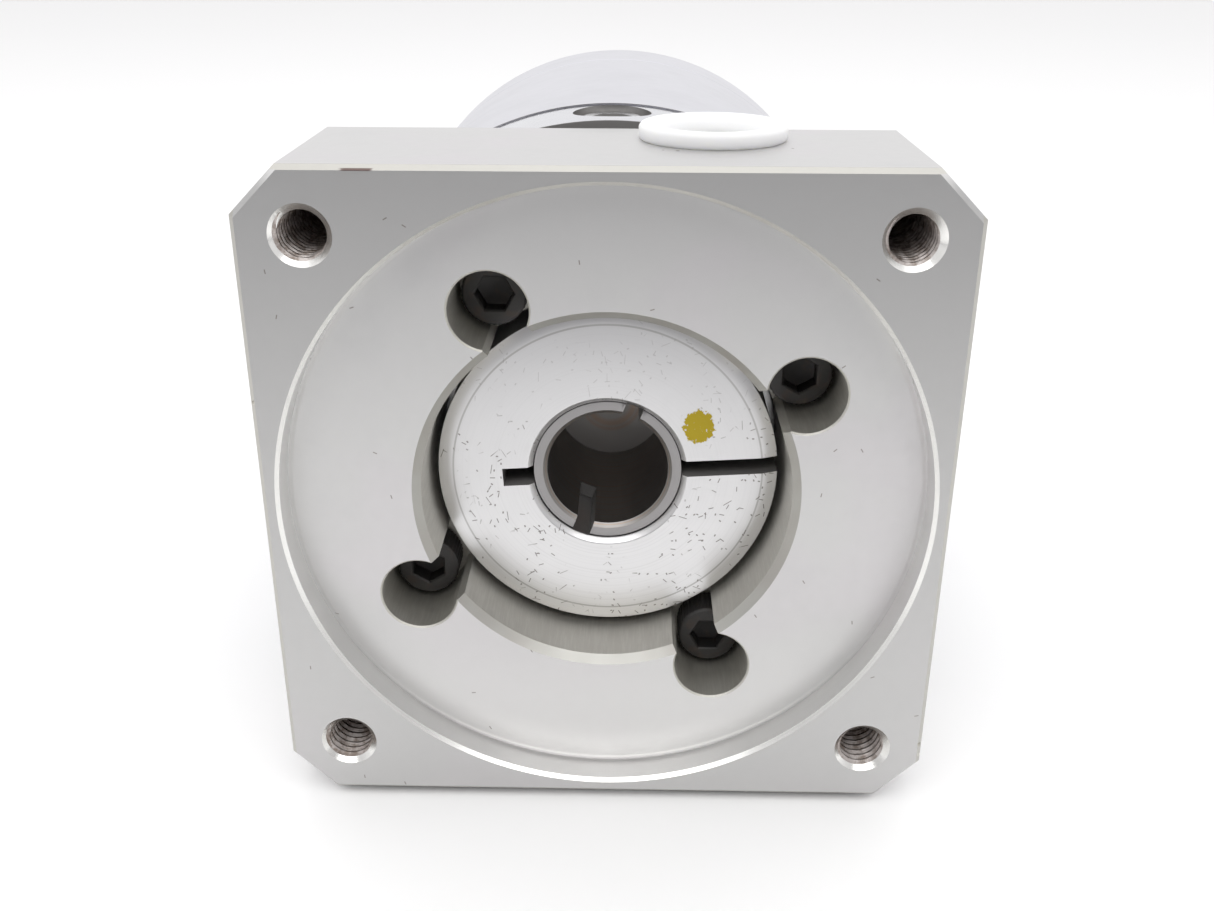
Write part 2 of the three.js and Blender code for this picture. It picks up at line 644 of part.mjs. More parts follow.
add("ring_gear_housing", ringGearHousing(), BODY_STEEL);
add("planet_carrier", planetCarrier(), GEAR_STEEL);
const washerGap = 0.1;
for (let i = 0; i < PLANETS.count; i++) {
  const angle = PLANETS.first + (360 / PLANETS.count) * i;
  const number = i + 1;
  const { front, back, pin, bush, bushBore } = PLANET;
  const washer = (from) => bar(WASHER.radius, from, from + WASHER.thickness, SMALL_FACETS, WASHER.bore);
  add("planet_gear_" + number, planetGear(angle), GEAR_STEEL);
  add("planet_bush_" + number, atPlanet(bar(bush, front, back, SMALL_FACETS, bushBore), angle), BRONZE);
  add("planet_pin_" + number, atPlanet(bar(pin, CARRIER.front + 0.4, CARRIER.back - 0.4), angle), STEEL);
  const frontWasher = washer(front - WASHER.thickness - washerGap);
  add("front_thrust_washer_" + number, atPlanet(frontWasher, angle), BRONZE);
  add("rear_thrust_washer_" + number, atPlanet(washer(back + washerGap), angle), BRONZE);
}

addBearing("output_front_bearing", OUTPUT_BEARING, OUTPUT_BEARING_FRONTS.front);
addBearing("output_rear_bearing", OUTPUT_BEARING, OUTPUT_BEARING_FRONTS.rear);
const spacerFront = OUTPUT_BEARING_FRONTS.front + OUTPUT_BEARING.width;
const spacerBack = OUTPUT_BEARING_FRONTS.rear - PLAY;
const spacer = bar(OUTPUT.seat + 3, spacerFront + PLAY, spacerBack, FACETS, OUTPUT.seat + PLAY);
add("bearing_spacer", spacer, STEEL);
add("output_shaft", outputShaft(), STEEL);
add("output_key", keyShape(0, OUTPUT.radius + KEY.proud - KEY.height, OUTPUT.radius + KEY.proud), STEEL);
add("output_housing", outputHousing(), BODY_STEEL);
add("output_o_ring", oRing(SPIGOT.output - 0.8, SEAM.ringBack - 2.3, 0.8), RUBBER);
const seal = outputSealPlace();
add("output_seal", shaftSeal(seal.bore, seal.outside, seal.front, seal.back), RUBBER);
addEach("output_housing_screw", onCircle(OUTPUT_SCREW, outputScrew), BLACK_OXIDE);

export default assembly;
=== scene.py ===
"""Looks of the inline gear reducer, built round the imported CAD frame.

Shapes are drawn in millimetres in the assembly's own frame: X across, Y along the shafts from
the motor face, Z up from the shafts' axis. Each piece is moved to the row frame, in metres,
when its mesh is made, and it stays at that place with its object at the origin.
"""
import math

import bmesh
import bpy
import numpy as np
from mathutils import Matrix, Vector

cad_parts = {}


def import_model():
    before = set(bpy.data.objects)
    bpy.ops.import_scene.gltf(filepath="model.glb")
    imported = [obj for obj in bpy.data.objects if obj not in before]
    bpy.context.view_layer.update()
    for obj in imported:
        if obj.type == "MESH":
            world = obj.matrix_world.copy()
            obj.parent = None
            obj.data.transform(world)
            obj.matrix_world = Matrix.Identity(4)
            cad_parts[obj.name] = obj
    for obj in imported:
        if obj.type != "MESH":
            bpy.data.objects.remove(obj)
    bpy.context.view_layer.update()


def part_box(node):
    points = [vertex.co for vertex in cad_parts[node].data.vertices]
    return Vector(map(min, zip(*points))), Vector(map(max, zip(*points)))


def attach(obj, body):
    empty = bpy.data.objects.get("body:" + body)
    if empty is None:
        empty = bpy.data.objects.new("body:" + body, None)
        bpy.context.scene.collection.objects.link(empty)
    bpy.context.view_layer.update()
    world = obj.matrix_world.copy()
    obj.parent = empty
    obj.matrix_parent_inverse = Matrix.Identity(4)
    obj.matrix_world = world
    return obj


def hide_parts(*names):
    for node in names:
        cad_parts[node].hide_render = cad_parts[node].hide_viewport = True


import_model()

MM = 0.001
ADAPTER_LOW, ADAPTER_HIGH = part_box("motor_adapter")
ORIGIN = Vector((0, ADAPTER_LOW.y, (ADAPTER_LOW.z + ADAPTER_HIGH.z) / 2))

ROUND = 192  # segments round the large turned pieces
SMALL_ROUND = 64  # segments round screws and holes
PAST = 1  # how far a cutting shape runs past the face that it opens
SHARP_EDGE = 32  # degrees; a fold sharper than this is shaded as an edge
TINY = 1e-6  # shorter lengths count as none

# Places along the shafts and sizes, as in the CAD part, in millimetres.
ADAPTER_BACK = 32
RING_FRONT = 52
RING_BACK = 122
OUTPUT_FACE = 143
PILOT_END = 149
SHAFT_END = 198
BODY_RADIUS = 51
PLATE = {"half": 50, "corner": 6.7, "edge": 0.7}
RECESS = {"radius": 47.5, "rim": 0.55, "depth": 5, "groove": 0.3}
OPENING = {"radius": 27.8, "mouth": 29, "depth": 1.2}
MOTOR_HOLES = {"offset": 40.66, "thread": 17, "drill": 22, "sink": 4.35}
M8 = {"major": 4.05, "minor": 3.32, "pitch": 1.25}

# Socket-head screws: shank radius, head radius, head height and key across its flats.
M4_SCREW = (2, 3.5, 4, 3)
M5_SCREW = (2.5, 4.25, 5, 4)
M6_SCREW = (3, 5, 6, 5)

# Circles of screws and holes round the main axis: radius, and angles from +X towards +Z.
ADAPTER_SCREWS = {"at": 33.35, "angles": (30, 120, 210, 300)}
HOUSING_SCREWS = {"at": 46.2, "angles": (45, 135, 225, 315)}
OUTPUT_SCREWS = {"at": 45.5, "angles": (0, 90, 180, 270)}
OUTPUT_HOLES = {"at": 45, "angles": (45, 135, 225, 315)}

PLUG = {"x": 15.07, "y": 23, "rim": 10.85, "height": 2.3, "cup": 7.4, "wall": 1.1, "depth": 9}
PLUG_HOLE = 7.6
COLLAR = {"bore": 11.7, "mouth": 12.5, "radius": 26.5, "band": 24.1, "front": 14.6, "back": 29.6}
CLAMP_ANGLE = 3.5
CLAMP_Y = (COLLAR["front"] + COLLAR["back"]) / 2
SCREW_SEAT = {"radius": 5.8, "depth": 20, "clearance": 3.3, "ease": 0.25}
CLAMP_SCREW = {"seat": -8.6, "end": 12}  # on its own axis, with the head at the low end
INPUT_BEARING = (37.9, 47.1)
CIRCLIP_END = 48.4
PORT = {"y": 44.8, "radius": 6.4, "floor": 49.4, "tapped": 5.1, "bottom": 40, "ease": 0.15}
JOINT = {"gap": 0.3, "depth": 1.4, "step": 0.22}  # the front body's groove and its smaller radius
GEAR_MODULE = 1.5
RING_TEETH = 54
KEY = {"front": 153, "back": 189, "top": 15.5, "height": 7, "half": 4, "ease": 0.3}

# Marks of use on the motor side. A ding is (x, y, z, size) and a speck on top is (x, y, size).
EDGE_STAIN = {"x": -32.5, "half": 2.0, "ragged": 0.8}
EDGE_DINGS = ((-49.9, 0.1, 16.7, 0.75), (49.7, 0.1, -39.9, 0.6), (50.1, 0.2, -42.1, 0.7))
TOP_SPECKS = ((7.6, 12.6, 0.25), (9.6, 12.1, 0.35), (25.7, 14.6, 0.25))
BALANCE_MARK = {"x": 14.0, "z": 7.9, "half_x": 2.4, "half_z": 2.75}

# The sockets of a Mix node that mixes colours.
MIX_FACTOR, MIX_A, MIX_B, MIX_RESULT = 0, 6, 7, 2


# Shapes -----------------------------------------------------------------------------------


class Shape:
    """Points in millimetres and the faces between them."""

    def __init__(self, points, faces):
        self.points = np.array(points, float)
        self.faces = faces

    def changed(self, matrix):
        turned_points = self.points @ np.array(matrix.to_3x3()).T + np.array(matrix.translation)
        return Shape(turned_points, self.faces)

    def at(self, x=0, y=0, z=0):
        return self.changed(Matrix.Translation((x, y, z)))

    def swung(self, degrees):
        """Turned about the main axis, from +X towards +Z."""
        return self.changed(Matrix.Rotation(-math.radians(degrees), 4, "Y"))

    def upright(self):
        """A shape that lies along Y, stood up along Z."""
        return self.changed(Matrix.Rotation(math.radians(90), 4, "X"))

    def backwards(self):
        """A shape that faces -Y, turned to face +Y."""
        return self.changed(Matrix.Rotation(math.pi, 4, "Z"))


def stacked(rings):
    """A solid through rings of points, front to back; a ring of one point closes it to a tip."""
    points, faces, places = [], [], []
    for ring in rings:
        places.append(range(len(points), len(points) + len(ring)))
        points.extend(ring)
    for low, high in zip(places, places[1:]):
        count = max(len(low), len(high))
        for k in range(count):
            after = (k + 1) % count
            if len(low) == 1:
                faces.append((low[0], high[after], high[k]))
            elif len(high) == 1:
                faces.append((low[k], low[after], high[0]))
            else:
                faces.append((low[k], low[after], high[after], high[k]))
    for end in (places[0], places[-1]):
        if len(end) > 1:
            faces.append(tuple(end))
    return Shape(points, faces)


def wavy_ring(reach, y, segments):
    """A ring of points round the Y axis whose radius is a function of the angle."""
    angles = [2 * math.pi * (k + 0.5) / segments for k in range(segments)]
    return [(reach(a) * math.cos(a), y, reach(a) * math.sin(a)) for a in angles]


def ring_of(radius, y, segments):
    return [(0, y, 0)] if radius < TINY else wavy_ring(lambda angle: radius, y, segments)


def turned(section, segments=ROUND):
    """A solid turned about the Y axis from (radius, y) corners in order round its section."""
    rings = [ring_of(radius, y, segments) for radius, y in section]
    shape = stacked(rings)
    if section[0][0] > 0 and section[-1][0] > 0:
        last, first = shape.faces.pop(), shape.faces.pop()
        for k in range(segments):
            after = (k + 1) % segments
            shape.faces.append((last[k], last[after], first[after], first[k]))
    return shape


def eased(section, size, steps=2):
    """The section with its corners rounded, except those on the axis and the slight ones."""
    slight = 0.3
    count = len(section)
    closed = section[0][0] > 0 and section[-1][0] > 0
    out = []
    for i, (x, y) in enumerate(section):
        here = Vector((x, y))
        before = Vector(section[i - 1])
        after = Vector(section[(i + 1) % count])
        ends = not closed and i in (0, count - 1)
        a, b = before - here, after - here
        if x < TINY or ends or min(a.length, b.length) < TINY or math.pi - a.angle(b) < slight:
            out.append((x, y))
            continue
        reach = min(size, 0.45 * a.length, 0.45 * b.length)
        start, end = here + a.normalized() * reach, here + b.normalized() * reach
        for step in range(steps + 1):
            t = step / steps
            point = start * (1 - t) ** 2 + here * 2 * t * (1 - t) + end * t**2
            out.append((point.x, point.y))
    return out


def bar(radius, start, end, segments=SMALL_ROUND):
    return turned([(0, start), (radius, start), (radius, end), (0, end)], segments)


def drawn(outline, start, end):
    """A flat outline of (x, z) points made solid between two places on Y."""
    return stacked([[(x, y, z) for x, z in outline] for y in (start, end)])


def block(x, y, z):
    return drawn([(x[0], z[0]), (x[1], z[0]), (x[1], z[1]), (x[0], z[1])], *y)


def hexagon(across):
    corner = across / math.sqrt(3)
    return [(corner * math.cos(k * math.pi / 3), corner * math.sin(k * math.pi / 3)) for k in range(6)]


def around(ring, shape):
    """Copies of a shape, one at each angle of a ring of holes or screws."""
    return [shape.at(x=ring["at"]).swung(angle) for angle in ring["angles"]]


def tapped_hole(thread, depth, drilled):
    """The space of a tapped hole from y = 0: thread and drilled end."""
    major, minor, pitch = thread["major"], thread["minor"], thread["pitch"]
    segments, steps = 48, 10

    def reach_at(y):
        def reach(angle):
            turn = (y / pitch - angle / (2 * math.pi)) % 1
            ridge = min(1, max(0, 1.35 - 2.4 * abs(turn - 0.5)))
            fade = min(1, max(0, (depth - y) / pitch))
            return minor + (major - minor) * (1 - ridge) * fade

        return reach

    rings = [[(0, -PAST, 0)]]
    for i in range(int((depth + PAST) / pitch * steps) + 1):
        y = -PAST + i * pitch / steps
        rings.append(wavy_ring(reach_at(y), y, segments))
    rings.append(ring_of(minor, drilled, segments))
    rings.append([(0, drilled + 0.6 * minor, 0)])
    return stacked(rings)


def countersink(sink):
    """A cone of 90 degrees, `sink` in radius at y = 0."""
    tip = 0.5
    return turned([(0, -PAST), (sink + PAST, -PAST), (tip, sink - tip), (0, sink - tip)], SMALL_ROUND)


def cap_screw(shank, head, height, key, seat, end):
    """A socket-head screw along Y with its head at the low end: (screw, hexagonal socket)."""
    knurls = 44
    top = seat - height

    def knurled(angle):
        return head - 0.14 * abs(math.sin(angle * knurls / 2)) ** 0.7

    segments = knurls * 6
    rings = [
        [(0, top, 0)],
        ring_of(head - 0.75, top, segments),
        ring_of(head - 0.45, top + 0.08, segments),
        ring_of(head - 0.2, top + 0.35, segments),
        wavy_ring(knurled, top + 0.55, segments),
        wavy_ring(knurled, seat - 0.5, segments),
        ring_of(head - 0.25, seat - 0.3, segments),
        ring_of(head - 0.4, seat, segments),
        ring_of(shank, seat, segments),
        ring_of(shank, end - 0.5, segments),
        ring_of(shank - 0.5, end, segments),
        [(0, end, 0)],
    ]
    corner = key / math.sqrt(3)
    outline = hexagon(key)
    depth = top + height * 0.55
    socket = stacked([
        [(x * 1.25, top - 0.4, z * 1.25) for x, z in outline],
        [(x, top + 0.25, z) for x, z in outline],
        [(x, depth, z) for x, z in outline],
        [(0, depth + 0.35 * corner, 0)],
    ])
    return stacked(rings), socket


# Mesh pieces ------------------------------------------------------------------------------


def mesh_object(name, shape, material):
    mesh = bpy.data.meshes.new(name)
    points = shape.points * MM + np.array(ORIGIN)
    mesh.from_pydata(points.tolist(), [], shape.faces)
    cleaned = bmesh.new()
    cleaned.from_mesh(mesh)
    bmesh.ops.recalc_face_normals(cleaned, faces=cleaned.faces)
    cleaned.to_mesh(mesh)
    cleaned.free()
    mesh.materials.append(material)
    made = bpy.data.objects.new(name, mesh)
    bpy.context.scene.collection.objects.link(made)
    return made


def carved(base, cuts):
    """The base piece with each (shape, material) of cuts taken out, the walls in that material."""
    tools = []
    for shape, material in cuts:
        tool = mesh_object("cutter", shape, material)
        modifier = base.modifiers.new("cut", "BOOLEAN")
        modifier.operation = "DIFFERENCE"
        modifier.solver = "EXACT"
        modifier.material_mode = "TRANSFER"
        modifier.object = tool
        tools.append(tool)
    settled = base.evaluated_get(bpy.context.evaluated_depsgraph_get())
    mesh = bpy.data.meshes.new_from_object(settled)
    base.modifiers.clear()
    base.data = mesh
    for tool in tools:
        bpy.data.objects.remove(tool)
    return base


def refinished(piece, material, radii, places):
    """Another material on the faces that lie between two radii and two places on Y."""
    piece.data.materials.append(material)
    for face in piece.data.polygons:
        x, y, z = (face.center - ORIGIN) / MM
        if radii[0] < math.hypot(x, z) < radii[1] and places[0] < y < places[1]:
            face.material_index = len(piece.data.materials) - 1


def placed(piece, body, slot, *nodes):
    """Shades a piece smooth up to its sharp edges and stands it for its CAD nodes."""
    for face in piece.data.polygons:
        face.use_smooth = True
    piece.data.set_sharp_from_angle(angle=math.radians(SHARP_EDGE))
    weighted = piece.modifiers.new("true_flats", "WEIGHTED_NORMAL")
    weighted.keep_sharp = True
    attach(piece, body)
    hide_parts(*nodes)


# Materials --------------------------------------------------------------------------------


class Finish:
    """A material under construction; its methods add nodes and give back their outputs.

    A CAD node that is kept already carries the material of its slot's name, so building a
    material of that name finishes the node too.
    """

    def __init__(self, name, colour, roughness, metallic=1.0, **constants):
        self.material = bpy.data.materials.get(name) or bpy.data.materials.new(name)
        self.material.use_nodes = True
        self.material.diffuse_color = (*colour, 1)
        self.tree = self.material.node_tree
        self.tree.nodes.clear()
        self.shader = self.tree.nodes.new("ShaderNodeBsdfPrincipled")
        output = self.tree.nodes.new("ShaderNodeOutputMaterial")
        self.tree.links.new(self.shader.outputs["BSDF"], output.inputs["Surface"])
        self.shader.inputs["Base Color"].default_value = (*colour, 1)
        self.shader.inputs["Roughness"].default_value = roughness
        self.shader.inputs["Metallic"].default_value = metallic
        for socket, value in constants.items():
            self.shader.inputs[socket.replace("_", " ")].default_value = value
        self.colour = None
        self.roughness = None
        self.height = None
        self.base = (*colour, 1)
        self.base_roughness = roughness
        self.place = self.node("ShaderNodeTexCoord").outputs["Object"]

    def node(self, kind, inputs=None, **settings):
        made = self.tree.nodes.new(kind)
        for key, value in settings.items():
            setattr(made, key, value)
        for socket, value in (inputs or {}).items():
            self.feed(made.inputs[socket], value)
        return made

    def feed(self, socket, value):
        if isinstance(value, bpy.types.NodeSocket):
            self.tree.links.new(value, socket)
        else:
            socket.default_value = value

    def math(self, operation, a, b=0.0, c=0.0):
        return self.node("ShaderNodeMath", {0: a, 1: b, 2: c}, operation=operation).outputs[0]

    def vector(self, x, y, z):
        return self.node("ShaderNodeCombineXYZ", {0: x, 1: y, 2: z}).outputs[0]

    def millimetres(self):
        """The place on the piece in the assembly's frame: x, y and z in millimetres."""
        split = self.node("ShaderNodeSeparateXYZ", {0: self.place}).outputs
        return [
            self.math("DIVIDE", self.math("SUBTRACT", split[i], ORIGIN[i]), MM) for i in range(3)
        ]

    def noise(self, vector, size, detail=3.0, roughness=0.55):
        """Noise from 0 to 1 with features of that size, in the units of the vector."""
        inputs = {"Vector": vector, "Scale": 1 / size, "Detail": detail, "Roughness": roughness}
        return self.node("ShaderNodeTexNoise", inputs).outputs["Fac"]

    def overlap(self, *masks):
        """The product of masks, which is 1 where all of them are 1."""
        product = masks[0]
        for mask in masks[1:]:
            product = self.math("MULTIPLY", product, mask)
        return product

    def between(self, value, low, high, start=0.0, end=1.0):
        """Goes smoothly from `start` to `end` as the value goes from `low` to `high`."""
        inputs = {"Value": value, "From Min": low, "From Max": high, "To Min": start, "To Max": end}
        made = self.node("ShaderNodeMapRange", inputs, interpolation_type="SMOOTHSTEP")
        return made.outputs["Result"]

    def tint(self, mask, colour, strength=1.0):
        """Mixes a colour over the base colour where the mask is 1."""
        share = self.math("MULTIPLY", mask, strength)
        inputs = {MIX_FACTOR: share, MIX_A: self.colour or self.base, MIX_B: (*colour, 1)}
        self.colour = self.node("ShaderNodeMix", inputs, data_type="RGBA").outputs[MIX_RESULT]

    def rougher(self, mask, amount):
        """Adds to the roughness where the mask is 1."""
        self.roughness = self.math("MULTIPLY_ADD", mask, amount, self.roughness or self.base_roughness)

    def raised(self, mask, amount):
        """Adds to the surface's height, in millimetres, where the mask is 1."""
        self.height = self.math("MULTIPLY_ADD", mask, amount, self.height or 0.0)

    def dashes(self, u, v, cell, length, width, share, seed=0.0):
        """Short straight marks at random angles, one at most to each cell of a flat pattern."""
        flat = self.vector(self.math("ADD", u, seed), v, 0.0)
        inputs = {"Vector": flat, "Scale": 1 / cell}
        cells = self.node("ShaderNodeTexVoronoi", inputs, voronoi_dimensions="2D")
        middle = {0: flat, 1: cells.outputs["Position"]}
        offset = self.node("ShaderNodeVectorMath", middle, operation="SUBTRACT").outputs[0]
        drawn_by_lot = self.node("ShaderNodeSeparateXYZ", {0: cells.outputs["Color"]}).outputs
        angle = self.math("MULTIPLY", drawn_by_lot[0], math.pi)
        turn = {"Vector": offset, "Angle": angle}
        along = self.node("ShaderNodeVectorRotate", turn, rotation_type="Z_AXIS")
        parts = self.node("ShaderNodeSeparateXYZ", {0: along.outputs[0]}).outputs
        long_side = self.between(self.math("ABSOLUTE", parts[0]), length / 2, length * 0.4)
        narrow = self.between(self.math("ABSOLUTE", parts[1]), width / 2, width * 0.2)
        chosen = self.math("LESS_THAN", drawn_by_lot[1], share)
        return self.overlap(long_side, narrow, chosen)

    def done(self):
        if self.colour is not None:
            self.feed(self.shader.inputs["Base Color"], self.colour)
        if self.roughness is not None:
            self.feed(self.shader.inputs["Roughness"], self.roughness)
        if self.height is not None:
            inputs = {"Height": self.height, "Distance": MM, "Strength": 1.0}
            bump = self.node("ShaderNodeBump", inputs)
            self.feed(self.shader.inputs["Normal"], bump.outputs[0])
        return self.material


def radius_of(finish, a, b):
    square = finish.math("MULTIPLY_ADD", a, a, finish.math("MULTIPLY", b, b))
    return finish.math("SQRT", square)


def distance_from(finish, a, b, centre):
    across, along = centre
    return radius_of(finish, finish.math("SUBTRACT", a, across), finish.math("SUBTRACT", b, along))


def machined_aluminium():
    """The adapter's milled and turned faces, with painted light low in the recess and painted shade on the
    front frame, darker towards the top.
    """
    look = Finish("machined_aluminium", (0.64, 0.636, 0.63), 0.38)
    x, y, z = look.millimetres()
    place = look.vector(x, y, z)
    look.tint(look.between(look.noise(place, 28, 2), 0.46, 0.62), (0.66, 0.62, 0.65), 0.3)
    look.tint(look.between(look.noise(place, 9, 4), 0.5, 0.75), (0.58, 0.58, 0.58), 0.25)
    radius = radius_of(look, x, z)
    inside = look.between(radius, RECESS["radius"] - 0.2, RECESS["radius"] - 0.5)
    # Painted light: the recess floor made lighter towards its bottom, where the recess wall shades it.
    painted_light_low = look.overlap(look.between(z, -18.0, -42.0), inside)
    look.tint(painted_light_low, (0.80, 0.795, 0.785), 0.8)
    front = look.between(y, PLATE["edge"] + 0.2, PLATE["edge"] + 0.05)
    # Painted shade: the front frame round the recess darkened, half as much at the bottom as from the middle
    # up.
    painted_shade_higher = look.between(z, -50.0, 0.0, 0.5, 1.0)
    look.tint(look.overlap(look.math("SUBTRACT", 1.0, inside), front, painted_shade_higher), (0.53, 0.527, 0.522))
    rings = look.noise(look.vector(radius, 0.0, 0.0), 0.35, 3, 0.7)
    look.raised(look.overlap(rings, inside), 0.0016)
    grain = look.noise(look.vector(look.math("MULTIPLY", x, 0.12), y, z), 0.22, 3, 0.7)
    look.raised(grain, 0.0011)
    look.rougher(look.noise(place, 1.6, 4), 0.12)
    plate_marks(look, x, y, z, front)
    return look.done()


def plate_marks(look, x, y, z, front):
    """Specks on the adapter's front, its duller edge with a brown stain, and specks on top."""
    half = PLATE["half"]
    outward = look.math("MAXIMUM", look.math("ABSOLUTE", x), look.math("ABSOLUTE", z))
    specks = look.dashes(x, z, 7, 0.7, 0.22, 0.22)
    look.tint(look.overlap(specks, look.between(outward, half - 0.8, half - 1)), (0.22, 0.19, 0.17), 0.8)
    front_edge = look.overlap(front, look.between(outward, half - 0.75, half - 0.65))
    look.tint(front_edge, (0.50, 0.49, 0.45), 0.8)
    ragged = EDGE_STAIN["ragged"]
    uneven = look.math("MULTIPLY_ADD", look.noise(look.vector(x, y, z), 1.1, 3), 2 * ragged, -ragged)
    from_middle = look.math("ADD", look.math("SUBTRACT", x, EDGE_STAIN["x"]), uneven)
    stain = look.overlap(
        look.between(look.math("ABSOLUTE", from_middle), EDGE_STAIN["half"] + 0.4, EDGE_STAIN["half"] - 0.4),
        look.between(y, 0.3, 0.2),
        look.between(z, half - 0.8, half - 0.75),
    )
    look.tint(stain, (0.10, 0.055, 0.05), 0.85)
    top = look.between(z, half - 0.8, half - 0.6)
    for speck_x, speck_y, size in TOP_SPECKS:
        from_speck = distance_from(look, x, y, (speck_x, speck_y))
        speck = look.overlap(look.between(from_speck, size, size * 0.6), top)
        look.tint(speck, (0.20, 0.17, 0.15), 0.85)


def bored_aluminium():
    """Walls of holes in the adapter, brushed along their depth."""
    look = Finish("bored_aluminium", (0.62, 0.605, 0.56), 0.5)
    x, y, z = look.millimetres()
    streaks = look.noise(look.vector(x, look.math("MULTIPLY", y, 0.06), z), 0.35, 3, 0.7)
    look.tint(look.between(streaks, 0.4, 0.7), (0.70, 0.69, 0.64), 0.6)
    look.raised(streaks, 0.004)
    look.rougher(look.noise(look.vector(x, y, z), 2, 3), 0.15)
    return look.done()


def thread_wall():
    """Threads with brown assembly compound dried in them."""
    look = Finish("thread_wall", (0.62, 0.575, 0.55), 0.42, 0.85)
    patches = look.noise(look.vector(*look.millimetres()), 1.4, 4, 0.7)
    look.tint(look.between(patches, 0.42, 0.62), (0.30, 0.245, 0.21), 0.9)
    look.rougher(patches, 0.25)
    return look.done()


def collar_steel():
    """The clamp collar's turned face: faint rings, scratches, a yellow balance mark, and painted shade darker
    towards the top.
    """
    look = Finish("collar_steel", (0.80, 0.795, 0.80), 0.3)
    x, y, z = look.millimetres()
    radius = radius_of(look, x, z)
    place = look.vector(x, y, z)
    rings = look.noise(look.vector(radius, 0.0, 0.0), 0.5, 4, 0.7)
    look.raised(rings, 0.002)
    look.tint(look.between(rings, 0.48, 0.72), (0.58, 0.575, 0.57), 0.5)
    # Painted shade: the collar's face darkened towards the top.
    look.tint(look.between(z, -22.0, 4.0), (0.64, 0.636, 0.64), 0.7)
    from_band = look.math("ABSOLUTE", look.math("SUBTRACT", radius, COLLAR["band"]))
    look.tint(look.between(from_band, 0.22, 0.05), (0.36, 0.35, 0.34), 0.7)
    wear = look.between(look.noise(place, 7, 2), 0.44, 0.56)
    from_rubbed = distance_from(look, x, z, (17.0, -8.0))
    wear = look.math("MAXIMUM", wear, look.between(from_rubbed, 8.0, 4.0))
    wear = look.overlap(wear, look.between(z, 14.0, 4.0, 0.3, 1.0))
    for cell, length, width, share, seed in (
        (1.5, 0.9, 0.2, 0.32, 0.0),
        (2.6, 1.7, 0.16, 0.2, 30.0),
        (1.2, 0.4, 0.3, 0.22, 70.0),
    ):
        marks = look.overlap(look.dashes(x, z, cell, length, width, share, seed), wear)
        look.tint(marks, (0.20, 0.18, 0.17), 0.85)
        look.raised(marks, -0.01)
    paint = balance_mark(look, x, y, z)
    look.tint(paint, (0.48, 0.36, 0.015))
    look.rougher(paint, 0.4)
    metallic = look.math("SUBTRACT", 1.0, look.math("MULTIPLY", paint, 0.95))
    look.feed(look.shader.inputs["Metallic"], metallic)
    look.rougher(look.noise(place, 1.2, 4), 0.1)
    return look.done()


def balance_mark(look, x, y, z):
    """A mask for a ragged oval dab of paint on the collar's front face, with a few gaps in it."""
    from_dab = radius_of(
        look,
        look.math("DIVIDE", look.math("SUBTRACT", x, BALANCE_MARK["x"]), BALANCE_MARK["half_x"]),
        look.math("DIVIDE", look.math("SUBTRACT", z, BALANCE_MARK["z"]), BALANCE_MARK["half_z"]),
    )
    ragged = look.noise(look.vector(x, 0.0, z), 0.9, 4, 0.7)
    edge = look.math("ADD", from_dab, look.math("MULTIPLY_ADD", ragged, 1.1, -0.55))
    front = look.between(y, COLLAR["front"] + 0.3, COLLAR["front"] + 0.1)
    gaps = look.between(look.noise(look.vector(x, 5.0, z), 0.7, 3), 0.62, 0.68)
    return look.overlap(look.between(edge, 1.02, 0.95), front, look.math("SUBTRACT", 1.0, gaps))


def turned_steel(name, colour, roughness, groove=0.0012, stain=0.06):
    """Turned or ground steel: fine marks round the main axis and a slight unevenness."""
    look = Finish(name, colour, roughness, Anisotropic=0.35)
    x, y, z = look.millimetres()
    place = look.vector(x, y, z)
    marks = look.noise(look.vector(0.0, y, radius_of(look, x, z)), 0.22, 4, 0.75)
    look.raised(marks, groove)
    darker = tuple(c * (1 - stain) for c in colour)
    look.tint(look.between(look.noise(place, 14, 3), 0.4, 0.7), darker)
    look.tint(look.between(marks, 0.35, 0.75), darker, 0.6)
    look.rougher(look.noise(place, 2.5, 4), 0.08)
    tangent = look.node("ShaderNodeTangent", direction_type="RADIAL", axis="Y")
    look.feed(look.shader.inputs["Tangent"], tangent.outputs[0])
    return look.done()


def bore_steel():
    """The inside of the motor shaft's bore: dark, with fine bronze rings along it."""
    look = Finish("bore_steel", (0.34, 0.33, 0.32), 0.32)
    x, y, z = look.millimetres()
    rings = look.noise(look.vector(0.0, y, 0.0), 0.6, 3, 0.7)
    look.raised(rings, 0.006)
    look.tint(look.between(rings, 0.5, 0.62), (0.37, 0.26, 0.19), 0.6)
    look.rougher(look.noise(look.vector(x, y, z), 3, 3), 0.15)
    return look.done()


def slit_wall():
    """Sawn walls of slits, dark and dull with old oil; also laid as painted shade in the groove behind the
    adapter and in the joint at the ring housing's front.
    """
    look = Finish("slit_wall", (0.16, 0.155, 0.15), 0.5, 0.0)
    _, y, z = look.millimetres()
    saw_marks = look.noise(look.vector(0.0, y, z), 0.3, 3, 0.7)
    look.raised(saw_marks, 0.01)
    look.rougher(saw_marks, 0.2)
    return look.done()


def mouth_chamfer():
    """The turned chamfer round the adapter's opening, bright where a lamp catches it."""
    look = Finish("mouth_chamfer", (0.50, 0.495, 0.465), 0.42)
    x, y, z = look.millimetres()
    marks = look.noise(look.vector(0.0, y, radius_of(look, x, z)), 0.18, 3, 0.7)
    look.raised(marks, 0.003)
    place = look.vector(x, y, z)
    look.tint(look.between(look.noise(place, 10, 2), 0.42, 0.62), (0.46, 0.44, 0.41), 0.6)
    look.rougher(look.noise(place, 4, 3), 0.1)
    return look.done()


